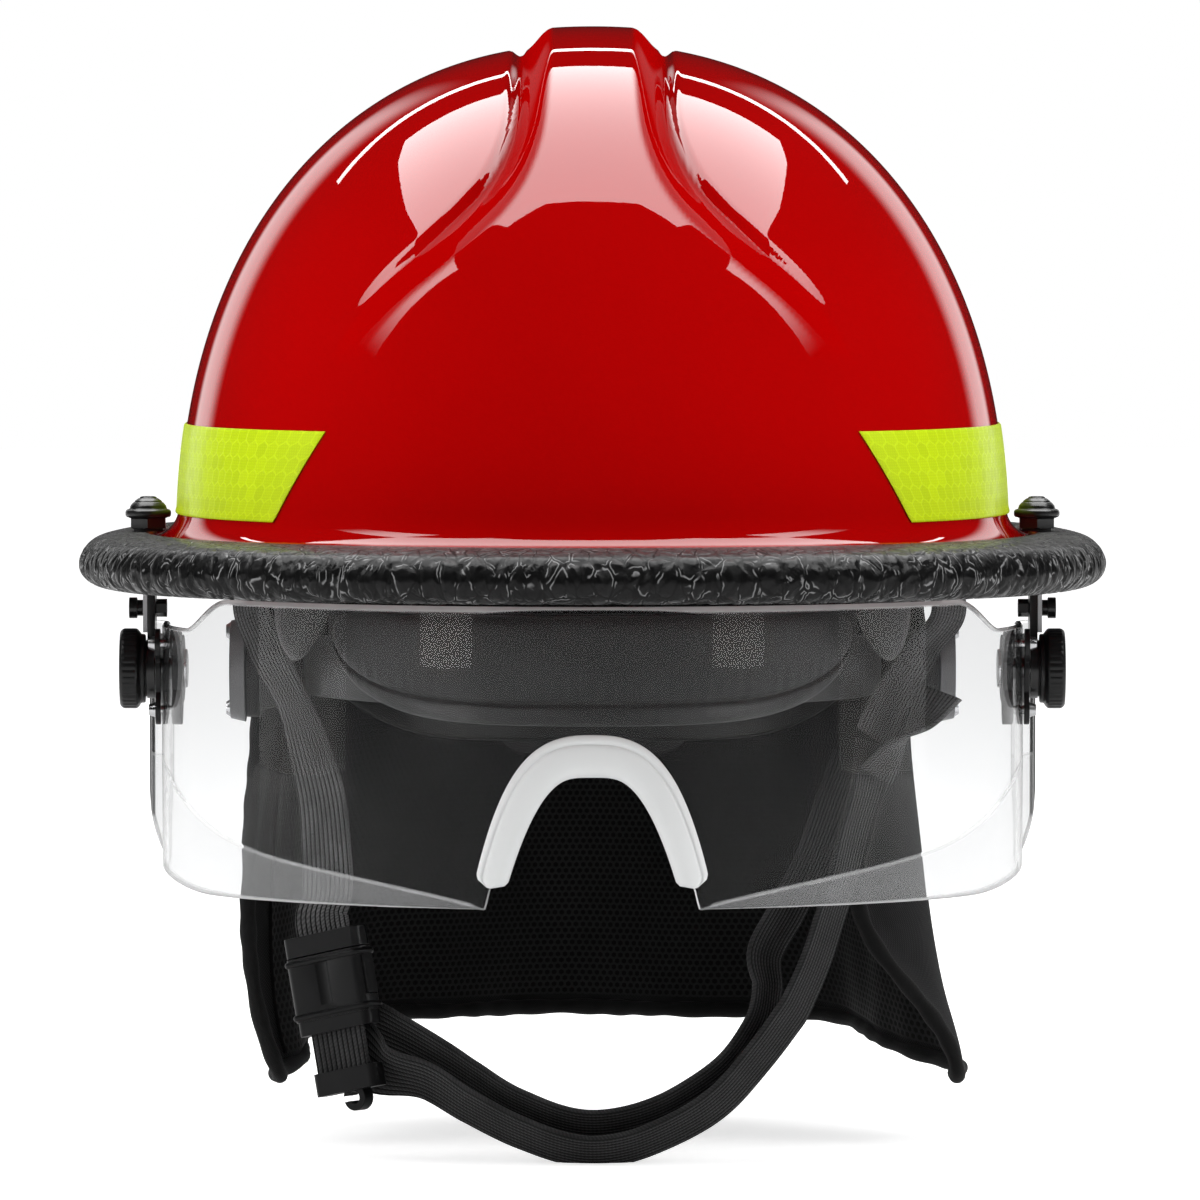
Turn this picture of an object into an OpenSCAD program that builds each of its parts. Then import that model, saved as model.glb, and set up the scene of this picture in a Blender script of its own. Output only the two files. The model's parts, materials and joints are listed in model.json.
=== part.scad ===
/* [Shell] */
// Width of the dome at its foot
dome_w = 236; // [216:1:250]
// Length of the dome ahead of the head's centre
dome_front = 142; // [134:1:150]
// Length of the dome behind the head's centre
dome_rear = 148; // [138:1:158]
// Height of the dome above its foot
dome_h = 143; // [134:1:152]
// Squareness of the dome's sections, where 2 is an ellipse
dome_power = 2.2; // [2:0.05:2.5]
// Wall of the shell
shell_t = 3; // [2.4:0.1:3.6]
// Rise of the central ridge over the crown
ridge_h = 5; // [3:0.5:7]
// Width of the ridge's flat top at the crown
ridge_top_w = 21; // [16:1:26]
// Width of the ridge's flat top where it runs out
ridge_foot_w = 54; // [44:1:60]
// Depth of the grooves beside the ridge
groove_depth = 2.6; // [1:0.2:3]
// Radius of the sweep from the dome into the brim
flare_r = 8.4; // [7:0.2:9.6]

/* [Brim and edge trim] */
// Reach of the brim sheet past the dome's sweep at the sides
brim_side = 14.6; // [12:0.2:20]
// Reach of the brim sheet past the dome's sweep in front
brim_front = 14.6; // [12:0.2:24]
// Reach of the brim sheet past the dome's sweep at the back
brim_rear = 15.6; // [12:0.2:26]
// Squareness of the brim's outline
brim_power = 2.4; // [2.2:0.05:2.6]
// Fall of the brim from its root to its edge
brim_fall = 5.1; // [4:0.1:6]
// Height of the trim's round nose
trim_h = 14; // [12:0.5:16]
// Reach of the trim past the sheet's edge
trim_reach = 5; // [4:0.2:6.5]

/* [Reflective patches] */
// Height of the patches
patch_h = 25.4; // [20:0.2:28]
// Lower edge of the patches above the brim plane
patch_z = 13.4; // [12:0.2:20]
// Thickness of the film
patch_t = 0.6; // [0.4:0.1:1]

/* [Liner and headband] */
// Thickness of the impact cap
cap_t = 28; // [22:1:30]
// Lower rim of the impact cap at the back
cap_rim_rear = 5; // [3:1:8]
// Lower rim of the impact cap over the brow, above the raised visor
cap_rim_front = 62; // [58:1:70]
// Half width of the headband, inside
band_hw = 80; // [76:1:82]
// Reach of the headband ahead of the head's centre, inside
band_front = 100; // [96:1:102]
// Reach of the nape band behind the head's centre, inside
band_rear = 100; // [94:1:104]
// Thickness of the headband
band_t = 2; // [1.6:0.1:2.4]
// Height of the headband
band_h = 26; // [22:1:30]
// Lower edge of the headband below the brim plane
band_drop = 38; // [34:1:40]
// Radius of the size knob
size_knob_r = 15; // [12:0.5:17]

/* [Visor] */
// How far the lens stands out from the dome's foot at its pivots
lens_side = 3.5; // [2.5:0.1:4]
// Reach of the lens ahead of its pivots
lens_reach = 116; // [112:0.5:117]
// Thickness of the lens
lens_t = 2; // [1.6:0.1:2.4]
// Upper edge of the lens below the brim plane
lens_top = 9; // [8.5:0.5:12]
// Lower edge of the lens below the brim plane
lens_bottom = 92.3; // [84:0.5:96]
// Place of the pivots ahead of the head's centre
pivot_y = -12; // [-14:0.5:-10]
// Height of the pivots, below the brim plane
pivot_z = -31; // [-33:0.5:-30]
// Radius of the pivot studs
stud_r = 3; // [2.5:0.1:3.4]
// Radius of the friction knobs
knob_r = 11.4; // [10.5:0.1:13]
// Running clearance of the studs in the brackets and knobs
run_gap = 0.08; // [0.05:0.01:0.1]

/* [Neck curtain] */
// Lower edge of the curtain at the back, below the brim plane
curtain_rear = 136; // [120:1:150]
// Lower corners of the curtain at its front edges, below the brim plane
curtain_side = 148; // [130:1:160]
// Thickness of the outer cloth
cloth_t = 1.6; // [1.4:0.1:2]
// Depth of the folds at the hem
fold_depth = 5; // [2:0.5:7]

/* [Chin strap] */
// Width of the webbing
web_w = 19; // [16:0.5:20]
// Thickness of the webbing
web_t = 1.6; // [1.2:0.1:2]
// Travel of the buckle's release prongs
prong_travel = 1.6; // [1:0.1:1.8]

/* [Hidden] */

// Small shared values
fit = 0.3;                       // gap between neighbours that only lie together
dome_z = 3.7;                    // height of the dome's foot over the brim plane
flare_z = dome_z + 11.3;         // height at which the sweep into the brim starts
brim_t = shell_t;
az_count = 72;                   // stations round the oval pieces
top_z = dome_z + dome_h;
lens_hw = dome_w / 2 + lens_side;
cap_gap = 0.9;
cap_in = dome_w / 2 - shell_t - cap_gap - cap_t;    // half width of the cap's hollow at its foot

// Interpolation from 0 to 1 with level ends, as v goes from a to b
function ease(a, b, v) =
    let (t = min(1, max(0, (v - a) / (b - a))))
    t * t * (3 - 2 * t);

function mix(a, b, t) = a + (b - a) * t;

// Radius of an oval at the angle az, where 0 is the front and 90 the right
function oval_r(az, hw, front, rear, p) =
    pow(pow(abs(sin(az)) / hw, p) + pow(abs(cos(az)) / (cos(az) > 0 ? front : rear), p), -1 / p);

function on_ray(az, r, z) = [r * sin(az), -r * cos(az), z];

function dome_foot_r(az, out) =
    oval_r(az, dome_w / 2 + out, dome_front + out, dome_rear + out, dome_power);

function brim_r(az) = oval_r(az, dome_w / 2 + flare_r + brim_side, dome_front + flare_r + brim_front,
    dome_rear + flare_r + brim_rear, brim_power);

// Radius of the dome at the height z, moved outwards by out
function dome_r(az, z, out) =
    dome_foot_r(az, out) * pow(1 - pow((z - dome_z) / (dome_h + out), dome_power), 1 / dome_power);

// A point of the dome at the elevation el, from 0 at the foot to 90 at the crown
function dome_point(az, el, out) =
    on_ray(az, dome_foot_r(az, out) * pow(cos(el), 2 / dome_power),
        dome_z + (dome_h + out) * pow(sin(el), 2 / dome_power));

// Elevation at which the dome reaches the height z
function dome_el(z, out) = asin(pow((z - dome_z) / (dome_h + out), dome_power / 2));

// Half width of the ridge's flat top at the height z
function ridge_half(z) =
    mix(ridge_top_w, ridge_foot_w, pow(min(1, max(0, (top_z - 4 - z) / 49)), 1.2)) / 2;

// Rise of the central ridge less the grooves beside it
function relief(x, z) =
    let (
        w = ridge_half(z),
        flank = 9,
        ridge = ridge_h * (1 - ease(w, w + flank, abs(x))) * ease(66, 112, z),
        gh = 1.5 + 6 * min(1, max(0, (top_z - 7 - z) / 48)),
        gx = w + flank + gh,
        groove = groove_depth * (1 - ease(0, 1.4 * gh, abs(abs(x) - gx)))
            * ease(84, 100, z) * (1 - ease(top_z - 9, top_z - 4, z))
    )
    ridge - groove;

function unit(v) = v / norm(v);

// A dome point pushed out by the relief along the dome's normal
function crown_point(az, el) =
    let (
        p = dome_point(az, el, 0),
        n = unit([p.x / pow(dome_w / 2, 2), p.y / pow(dome_front, 2), (p.z - dome_z) / pow(dome_h, 2)])
    )
    p + n * relief(p.x, p.z);

// Triangles of a skin over m rings of n points, closed into a ring of rings by loop
function skin_faces(m, n, loop) =
    [for (i = [0 : m - (loop ? 1 : 2)]) for (j = [0 : n - 1])
        let (a = i * n + j, b = i * n + (j + 1) % n, c = (i + 1) % m * n + (j + 1) % n, d = (i + 1) % m * n + j)
        each [[a, b, c], [a, c, d]]];

function middle(ring) = [for (k = [0 : 2]) [for (p = ring) p[k]] * [for (p = ring) 1] / len(ring)];

function turned_faces(faces) = [for (f = faces) [f[0], f[2], f[1]]];

// A closed solid over a list of rings. Its two ends are fans to the given tips or to their middles
module skin(rings, loop = false, tips = undef, turned = false) {
    m = len(rings);
    n = len(rings[0]);
    ends = loop ? [] : is_undef(tips) ? [middle(rings[0]), middle(rings[m - 1])] : tips;
    fans = loop ? [] : [for (j = [0 : n - 1]) each
        [[m * n, (j + 1) % n, j], [m * n + 1, (m - 1) * n + j, (m - 1) * n + (j + 1) % n]]];
    faces = concat(skin_faces(m, n, loop), fans);
    polyhedron(points = concat([for (r = rings) each r], ends), faces = turned ? turned_faces(faces) : faces);
}

function tangent(path, i) =
    unit(path[min(i + 1, len(path) - 1)] - path[max(i - 1, 0)]);

// A flat band along a path. across gives the direction of its width at each point
module ribbon(path, across, wide, thick) {
    skin([for (i = [0 : len(path) - 1])
        let (
            t = tangent(path, i),
            w = unit(across[i] - t * (across[i] * t)),
            n = cross(t, w)
        )
        [for (c = [[-1, -1], [1, -1], [1, 1], [-1, 1]]) path[i] + w * c[0] * wide / 2 + n * c[1] * thick / 2]
    ], turned = true);
}

// A point of a smooth curve through the points p, at u from 0 to the number of spans
function curve_at(p, u) =
    let (
        last = len(p) - 1,
        i = min(floor(u), last - 1),
        t = u - i,
        a = p[max(i - 1, 0)], b = p[i], c = p[i + 1], d = p[min(i + 2, last)]
    )
    0.5 * (2 * b + (c - a) * t + (2 * a - 5 * b + 4 * c - d) * t * t + (3 * b - a - 3 * c + d) * t * t * t);

function curve(p, steps) = [for (k = [0 : steps]) curve_at(p, k * (len(p) - 1) / steps)];

module both_sides() {
    children();
    mirror([1, 0, 0]) children();
}

// Places a shape drawn along Z so that it lies along X from x, at the place y and z
module along_x(x, y, z) {
    translate([x, y, z]) rotate([0, 90, 0]) children();
}

// A square of the size w by h with round corners, made of plain shapes
module round_square(w, h, r) {
    square([w - 2 * r, h], center = true);
    square([w, h - 2 * r], center = true);
    for (x = [-1, 1]) for (y = [-1, 1]) translate([x * (w / 2 - r), y * (h / 2 - r)]) circle(r, $fn = 32);
}

/* Shell */
outer_els = [3.5, 9, 15, 21, 28, 35, 42, 49, 55, 61, 67, 72, 77, 81, 85, 88];
inner_els = [3.5, 11, 19, 27, 35, 43, 51, 59, 67, 75, 83];

function brim_root_r(az) = dome_foot_r(az, 0) + flare_r;
brim_root_z = flare_z - flare_r;
brim_edge_z = brim_root_z - brim_fall;

// A ring of points round the shell, where f gives radius and height at each angle
function shell_rings() =
    let (azs = [for (i = [0 : az_count - 1]) i * 360 / az_count])
    concat(
        [for (k = [len(outer_els) - 1 : -1 : 0]) [for (a = azs) crown_point(a, outer_els[k])]],
        [for (f = [30, 60, 90]) [for (a = azs)
            on_ray(a, brim_root_r(a) - flare_r * cos(f), flare_z - flare_r * sin(f))]],
        [[for (a = azs) on_ray(a, brim_r(a), brim_edge_z)]],
        [[for (a = azs) on_ray(a, brim_r(a), brim_edge_z - brim_t)]],
        [for (f = [90, 60, 30]) [for (a = azs)
            on_ray(a, brim_root_r(a) - (flare_r + shell_t) * cos(f), flare_z - (flare_r + shell_t) * sin(f))]],
        [for (e = inner_els) [for (a = azs) dome_point(a, e, -shell_t)]]
    );

nut_x = dome_w / 2 + flare_r;
nut_seat_z = brim_root_z + 1.5;
bolt_r = 2.5;

module shell() {
    color([0.75, 0.01, 0.01])
    difference() {
        skin(shell_rings(), tips = [[0, 0, top_z + ridge_h], [0, 0, top_z - shell_t]]);
        both_sides() translate([nut_x, pivot_y, -10]) cylinder(r = bolt_r + 0.1, h = 30, $fn = 32);
    }
}

/* Edge trim */
// The trim's section at the angle az, as radius and height, with a slot for the brim sheet
function trim_section(az) =
    let (
        root = brim_root_r(az) + 0.2,
        edge = brim_r(az),
        slope = brim_fall / (edge - brim_root_r(az)),
        under = edge - 9,
        gap = 0.2,
        top = trim_h / 2
    )
    [
        [root, brim_root_z + gap],
        [root, top + 0.7],
        [root + 1.5, top + 1],
        [edge - 4, top + 0.2],
        [edge + trim_reach * 0.4, top * 0.8],
        [edge + trim_reach * 0.86, top * 0.42],
        [edge + trim_reach, -0.5],
        [edge + trim_reach * 0.86, -top * 0.5],
        [edge + trim_reach * 0.4, -top * 0.86],
        [edge - 3, -top],
        [edge - 8, -top * 0.92],
        [under, -top * 0.74],
        [under, brim_edge_z - brim_t - gap + (edge - under) * slope],
        [edge + gap, brim_edge_z - brim_t - gap],
        [edge + gap, brim_edge_z + gap]
    ];

module edge_trim() {
    color([0.07, 0.07, 0.07])
    difference() {
        skin([for (i = [0 : az_count - 1])
            let (az = i * 360 / az_count)
            [for (p = trim_section(az)) on_ray(az, p[0], p[1])]
        ], loop = true, turned = true);
        both_sides() translate([nut_x, pivot_y, -10]) cylinder(r = bolt_r + 0.2, h = 30, $fn = 32);
    }
}

/* Reflective patches */
// One patch between two angles. Its ends slant, so that the lower edge is the shorter one
module patch(az_a, az_b, slant) {
    lift = 0.25;
    rows = 4;
    cols = 12;
    skin([for (i = [0 : cols])
        let (
            col = [for (k = [0 : rows])
                let (z = patch_z + patch_h * k / rows, az = mix(az_a + slant * (1 - k / rows), az_b - slant * (1 - k / rows), i / cols))
                [az, z]]
        )
        concat(
            [for (c = col) on_ray(c[0], dome_r(c[0], max(c[1], flare_z), 0) + lift + patch_t + max(0, flare_z - c[1]) * 0.3, c[1])],
            [for (k = [rows : -1 : 0]) on_ray(col[k][0], dome_r(col[k][0], max(col[k][1], flare_z), 0) + lift + max(0, flare_z - col[k][1]) * 0.3, col[k][1])]
        )
    ], turned = false);
}

module reflective_patches() {
    color([0.8, 0.92, 0.0])
    both_sides() {
        patch(33, 96, 8);
        patch(108, 160, 7);
    }
}

/* Impact cap and suspension */
function cap_rim_z(az) = mix(cap_rim_rear, cap_rim_front, pow((1 + cos(az)) / 2, 1.6));

module impact_cap() {
    outer = -shell_t - cap_gap;
    inner = outer - cap_t;
    n = 48;
    steps = 8;
    azs = [for (i = [0 : n - 1]) i * 360 / n];
    function level(az, k, out) =
        let (low = dome_el(cap_rim_z(az), out))
        mix(low, 86, 1 - pow(1 - k / steps, 1.15));
    color([0.1, 0.1, 0.1])
    skin(concat(
        [for (k = [steps : -1 : 0]) [for (a = azs) dome_point(a, level(a, k, outer), outer)]],
        [for (k = [0 : steps]) [for (a = azs) dome_point(a, level(a, k, inner), inner)]]
    ), tips = [[0, 0, top_z + outer], [0, 0, top_z + inner]]);
}

strap_out = -shell_t - cap_gap - cap_t - 4.3;

// A crown strap across the cap's hollow, in the upright plane at the angle az
module crown_strap(az, drop) {
    els = [for (k = [-7 : 5]) k * 11];
    path = [for (e = els) dome_point(e < 0 ? az + 180 : az, 90 - abs(e), strap_out - drop)];
    ribbon(path, [for (e = els) [cos(az), sin(az), 0]], 19, 1.4);
}

module crown_straps() {
    color([0.12, 0.12, 0.12]) {
        crown_strap(45, 0);
        crown_strap(315, 3);
    }
}

// The headband is half an oval in front, then straight sides that guide the nape band
side_run = 34;
function band_path(out, y_end) =
    concat(
        [[-band_hw - out, y_end]],
        [for (t = [-90 : 7.5 : 90]) [(band_hw + out) * sin(t), -(band_front + out) * cos(t)]],
        [[band_hw + out, y_end]]
    );

// A wall that stands on a flat path, from z low to z high
module path_wall(out, y_end, thick, low, high) {
    outer = band_path(out + thick, y_end);
    inner = band_path(out, y_end);
    translate([0, 0, low]) linear_extrude(high - low)
        polygon(concat(outer, [for (i = [len(inner) - 1 : -1 : 0]) inner[i]]));
}

module headband() {
    color([0.16, 0.16, 0.17])
    difference() {
        path_wall(0, side_run, band_t, -band_drop, band_h - band_drop);
        both_sides() along_x(band_hw - 2, hub_y, hub_z) cylinder(r = boss_pin_r + 0.1, h = 8, $fn = 32);
    }
}

// A brow pad as a cushion on the front of the band, deepest and lowest at its middle
module brow_pad() {
    span = 60;
    steps = 18;
    function station(t) =
        let (
            s = [sin(t), -cos(t)],
            full = pow(cos(t * 90 / span), 1.2),
            puff = 3.2 + full,
            low = -band_drop + mix(12, -5, full),
            high = band_h - band_drop - 0.5,
            r = band_t + fit
        )
        [for (c = [
            [r, high], [r + puff * 0.7, high - 1.5], [r + puff, mix(low, high, 0.7)], [r + puff, mix(low, high, 0.3)],
            [r + puff * 0.9, low + 1.5], [r + puff * 0.4, low], [r, low + 0.8], [r, mix(low, high, 0.5)]])
            [(band_hw + c[0]) * s[0], (band_front + c[0]) * s[1], c[1]]];
    color([0.13, 0.13, 0.13])
    skin([for (i = [0 : steps]) station(mix(-span, span, i / steps))], turned = false);
}

// Hangers from the impact cap down to the headband
module suspension_hangers() {
    color([0.15, 0.15, 0.15])
    for (az = [62, 142, 218, 298]) {
        inner = -shell_t - cap_gap - cap_t;
        front = cos(az) > 0;
        top = cap_rim_z(az) + 8;
        foot_r = front ? oval_r(az, band_hw + band_t + 1.8, band_front + band_t + 5.6, 100, 2)
            : oval_r(az, band_hw + band_t + 3, 100, band_rear + band_t + 3, 2);
        path = [
            on_ray(az, dome_r(az, top, inner) - 4.6, top),
            on_ray(az, dome_r(az, top - 9, inner) - 4.8, top - 9),
            on_ray(az, mix(dome_r(az, top - 9, inner), foot_r, 0.6) - 1.6, 2),
            on_ray(az, foot_r + 0.8, -10),
            on_ray(az, foot_r + 0.8, -20)
        ];
        ribbon(curve(path, 8), [for (i = [0 : 8]) [cos(az), sin(az), 0]], 16, 1.6);
    }
}

// Reach of the lobes' upper edge past the cap's inner face
lobe_out = 3.9;

// Padded lobes in front of the ears, hung inside the cap's lower rim
module temple_pads() {
    color([0.17, 0.17, 0.17])
    both_sides()
    skin([for (i = [0 : 8])
        let (
            az = mix(47, 68, i / 8),
            r = oval_r(az, band_hw + 10, band_front - 2, band_rear + 10, 2.2),
            r_high = oval_r(az, cap_in + lobe_out, band_front - 2, band_rear + 10, 2.2),
            bulge = sin(180 * i / 8),
            low = mix(-8, -27, pow(bulge, 0.6)),
            high = cap_rim_z(az) - 0.5,
            t = 3 + 3 * bulge
        )
        [on_ray(az, r, low), on_ray(az, r + t, low + 2), on_ray(az, r_high + t, high), on_ray(az, r_high, high)]
    ], turned = false);
}

// The nape band slides inside the headband's straight sides and drops behind the head
nape_gap = 0.4;
function nape_point(t) =
    let (hw = band_hw - nape_gap - band_t / 2, rear = band_rear - side_run)
    abs(t) > 90
        ? [sign(t) * hw, side_run - (abs(t) - 90) * 0.5, -band_drop + band_h / 2]
        : [hw * sin(t), side_run + rear * cos(t), -band_drop + band_h / 2 - 22 * ease(0.1, 0.95, cos(t))];

module nape_band() {
    ts = [for (k = [-150 : 60 : -90]) k, for (k = [-80 : 10 : 80]) k, for (k = [90 : 60 : 150]) k];
    color([0.16, 0.16, 0.17])
    ribbon([for (t = ts) nape_point(t)], [for (t = ts) [0, 0, 1]], 20, band_t);
}

nape_z = -band_drop + band_h / 2 - 22;
housing_y = band_rear + band_t / 2 + fit;
housing_d = 8;

module ratchet_housing() {
    color([0.1, 0.1, 0.1])
    translate([0, housing_y + housing_d, nape_z]) rotate([90, 0, 0])
    difference() {
        linear_extrude(housing_d) round_square(58, 28, 9);
        translate([0, 0, -1]) cylinder(r = 4 + run_gap, h = housing_d + 2, $fn = 48);
        translate([0, 0, housing_d - 2.5]) cylinder(r = 9, h = 3, $fn = 48);
    }
}

module size_knob() {
    color([0.07, 0.07, 0.07])
    translate([0, housing_y + housing_d + 0.4, nape_z]) rotate([-90, 0, 0]) {
        difference() {
            union() {
                cylinder(r = size_knob_r - 1.2, h = 8, $fn = 64);
                for (i = [0 : 11]) rotate(i * 30) translate([size_knob_r - 2.2, 0, 0]) cylinder(r = 2, h = 8, $fn = 24);
            }
            translate([0, 0, 6.5]) cylinder(r = size_knob_r - 5, h = 4, $fn = 48);
        }
        translate([0, 0, -6.5]) cylinder(r = 4, h = 7, $fn = 48);
    }
}

/* Side hubs of the headband */
hub_y = 4;
hub_z = -32;
hub_mid = band_hw + 15;
hub_base = band_hw + 19.2;
hub_face = band_hw + 23.6;
boss_pin_r = 4;

module hub_bosses() {
    color([0.14, 0.14, 0.14])
    both_sides() {
        along_x(band_hw + band_t + 0.2, hub_y, hub_z) cylinder(r1 = 8, r2 = 12, h = hub_mid - band_hw - band_t - 0.2, $fn = 48);
        along_x(hub_mid, hub_y, hub_z) cylinder(r = 13.6, h = hub_base - hub_mid - 0.1, $fn = 64);
        along_x(band_hw + 0.05, hub_y, hub_z) cylinder(r = boss_pin_r, h = 4, $fn = 32);
    }
}

module hub_plates() {
    color([0.3, 0.3, 0.3])
    both_sides()
    difference() {
        along_x(hub_base, hub_y, hub_z) cylinder(r1 = 15, r2 = 14, h = hub_face - hub_base, $fn = 64);
        along_x(hub_face - 1, hub_y, hub_z) cylinder(r = 6, h = 4, $fn = 48);
        for (s = [-1, 1]) along_x(hub_base - 1, hub_y, hub_z + s * 11) cylinder(r = 1.6, h = 8, $fn = 24);
    }
}

module hub_screws() {
    color([0.45, 0.45, 0.45])
    both_sides()
    for (s = [-1, 1]) difference() {
        union() {
            along_x(hub_base + 0.1, hub_y, hub_z + s * 11) cylinder(r = 1.5, h = 4.5, $fn = 24);
            along_x(hub_face + 0.05, hub_y, hub_z + s * 11) cylinder(r1 = 2.6, r2 = 1.8, h = 1.3, $fn = 32);
        }
        translate([hub_face + 1.2, hub_y, hub_z + s * 11]) cube([1.2, 0.6, 3.2], center = true);
    }
}

/* Neck curtain */
curtain_cols = 44;
curtain_rows = 8;
edge_az_top = 112;
edge_az_hem = 97;

// A point of the curtain. u runs from the right front edge to the left one, v from the top to the hem
function curtain_point(u, v, out) =
    let (
        az = mix(mix(edge_az_top, edge_az_hem, v), 360 - mix(edge_az_top, edge_az_hem, v), u),
        top_az = mix(edge_az_top, 360 - edge_az_top, u),
        side = min(u, 1 - u),
        curl = u < 0.5 ? 25 * ease(0.2, 0.7, v) * (1 - ease(0.7, 1, v)) * (1 - ease(0, 0.12, side))
            : 15 * pow(max(0, v), 6) * (1 - ease(0, 0.32, side)),
        lean = mix(oval_r(az, dome_w / 2 - 24, dome_front - 22, dome_rear - 16, 2.2),
            oval_r(az, dome_w / 2 - 12, dome_front - 22, dome_rear - 26, 2.3), v),
        fold = fold_depth * pow(max(0, v), 1.3) * sin(360 * 4.5 * u - 45) * ease(0, 0.1, side),
        top = cap_rim_z(top_az) - 0.4,
        low = -mix(curtain_side, curtain_rear, ease(0.04, 0.34, side))
    )
    on_ray(az, lean - curl + fold + out, mix(top, low, v));

function curtain_station(i, j0, j1, out_a, out_b) =
    let (u = i / curtain_cols)
    concat(
        [for (j = [j0 : j1]) curtain_point(u, j / curtain_rows, out_a)],
        [for (j = [j1 : -1 : j0]) curtain_point(u, j / curtain_rows, out_b)]
    );

module neck_curtain() {
    color([0.09, 0.09, 0.09])
    skin([for (i = [0 : curtain_cols]) curtain_station(i, 0, curtain_rows, 0, -cloth_t)], turned = true);
}

module curtain_lining() {
    gap = cloth_t + fit;
    color([0.05, 0.05, 0.05])
    skin([for (i = [5 : curtain_cols - 5]) curtain_station(i, 1, curtain_rows - 1, -gap, -gap - 1)], turned = true);
}

// A round tube along a path, where across is a direction that the path never takes
module tube(path, across, r, sides) {
    skin([for (i = [0 : len(path) - 1])
        let (t = tangent(path, i), a = unit(cross(t, across[i])), b = cross(t, a))
        [for (k = [0 : sides - 1]) path[i] + r * (a * cos(k * 360 / sides) + b * sin(k * 360 / sides))]
    ], turned = true);
}

bind_r = 2.2;
module curtain_binding() {
    du = 0.0105;
    dv = 0.019;
    rows = [for (j = [0 : 8]) 0.14 + 0.86 * j / 8];
    uv = concat(
        [for (v = rows) [-du, v]],
        [[-du * 0.5, 1 + dv * 0.9]],
        [for (i = [0 : curtain_cols]) [i / curtain_cols, 1 + dv]],
        [[1 + du * 0.5, 1 + dv * 0.9]],
        [for (j = [8 : -1 : 0]) [1 + du, rows[j]]]
    );
    path = [for (c = uv) curtain_point(c[0], c[1], -cloth_t / 2)];
    color([0.1, 0.1, 0.1])
    tube(path, [for (p = path) unit([p.x, p.y, 0])], bind_r, 6);
}

/* Visor */
wing_back = 22;
wing_flare = 4.5;
flare_start = 10.5;
nose_half = 29.5;
nose_top = -50;
nose_power = 3;
wing_top = -18;
facet_tilt = 0.1;

// Plan of the lens: half width at the reach f ahead of the pivots
function lens_x(f) = f < 0
    ? lens_hw + wing_flare * pow(max(0, -f - flare_start) / (wing_back - flare_start), 1.2)
    : lens_hw * sqrt(max(0, 1 - pow(f / lens_reach, 2)));

function lens_f(x) = lens_reach * sqrt(max(0, 1 - pow(x / lens_hw, 2)));

function lens_upper(f) = mix(wing_top, -lens_top, ease(40, 64, f));

function arch_z(x) = nose_top - (lens_bottom + nose_top) * pow(abs(x) / nose_half, nose_power);

function lens_lower(f, x) =
    f < 0 ? -lens_bottom + 20 * (1 - sqrt(1 - pow(f / wing_back, 2)))
    : abs(x) < nose_half ? arch_z(x) : -lens_bottom;

// The moulded crease runs from high on the wings to the foot of the nose arch
function crease_z(x) =
    let (t = max(0, (min(abs(x), lens_hw) - nose_half) / (lens_hw - nose_half)))
    -lens_bottom + 17 * pow(t, 0.85) + 19 * pow(t, 8);

half_stations = concat(
    [[-wing_back, 1], [-18, 1], [-14, 1], [-flare_start, 1], [-5, 1]],
    [for (t = [90 : -6 : 18]) [lens_reach * cos(t), 2, lens_hw * sin(t)]],
    [for (x = [nose_half, 27.5, 25, 22, 18, 13, 7]) [lens_f(x), 2, x]]
);

// Stations from left to right, each as the reach f and the signed x
lens_stations = concat(
    [for (s = half_stations) [s[0], -(s[1] == 1 ? lens_x(s[0]) : s[2])]],
    [[lens_reach, 0]],
    [for (k = [len(half_stations) - 1 : -1 : 0])
        let (s = half_stations[k]) [s[0], s[1] == 1 ? lens_x(s[0]) : s[2]]]
);

// Outward direction of the lens in plan at the station i
function lens_out(i) =
    let (
        n = len(lens_stations) - 1,
        a = lens_stations[max(i - 1, 0)],
        b = lens_stations[min(i + 1, n)],
        t = unit([b[1] - a[1], -(b[0] - a[0]), 0])
    )
    [t.y, -t.x, 0];

function lens_ring(i) =
    let (
        s = lens_stations[i],
        f = s[0],
        x = s[1],
        n = lens_out(i),
        low = lens_lower(f, x),
        bend = min(max(crease_z(x), low + 0.3), lens_upper(f) - 2),
        high = lens_upper(f),
        zs = [low, bend, mix(bend, high, 0.5), high]
    )
    concat(
        [for (z = zs) [x, pivot_y - f, z] + n * (lens_t / 2 - facet_tilt * max(0, bend - z))],
        [for (k = [3 : -1 : 0]) [x, pivot_y - f, zs[k]] - n * (lens_t / 2 + facet_tilt * max(0, bend - zs[k]))]
    );

lens_screw_spots = [[10.5, 7.5], [6, -11.5]];
plate_gap = 0.1;
plate_x = lens_hw + lens_t / 2 + plate_gap;
plate_t = 1.5;
back_x = lens_hw - lens_t / 2 - 1.1;
back_t = 2.9;
bracket_x = plate_x + plate_t + 0.4;
bracket_t = 2.2;
washer_x = bracket_x + bracket_t + 0.1;
washer_t = 0.7;
knob_x = washer_x + washer_t + 0.1;
knob_neck = 1.6;
knob_w = 5.6;

// Runs a cylinder along X through the pivot, or through a spot given as reach and rise from it
module pivot_hole(r, x0, x1, spot = [0, 0]) {
    along_x(x0, pivot_y - spot[0], pivot_z + spot[1]) cylinder(r = r, h = x1 - x0, $fn = 48);
}

module visor_lens() {
    color([0.85, 0.88, 0.9, 0.35])
    difference() {
        skin([for (i = [0 : len(lens_stations) - 1]) lens_ring(i)], turned = true);
        both_sides() {
            pivot_hole(stud_r + 0.1, lens_hw - 6, lens_hw + 6);
            for (s = lens_screw_spots) pivot_hole(1.4, lens_hw - 6, lens_hw + 6, s);
        }
    }
}

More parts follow.
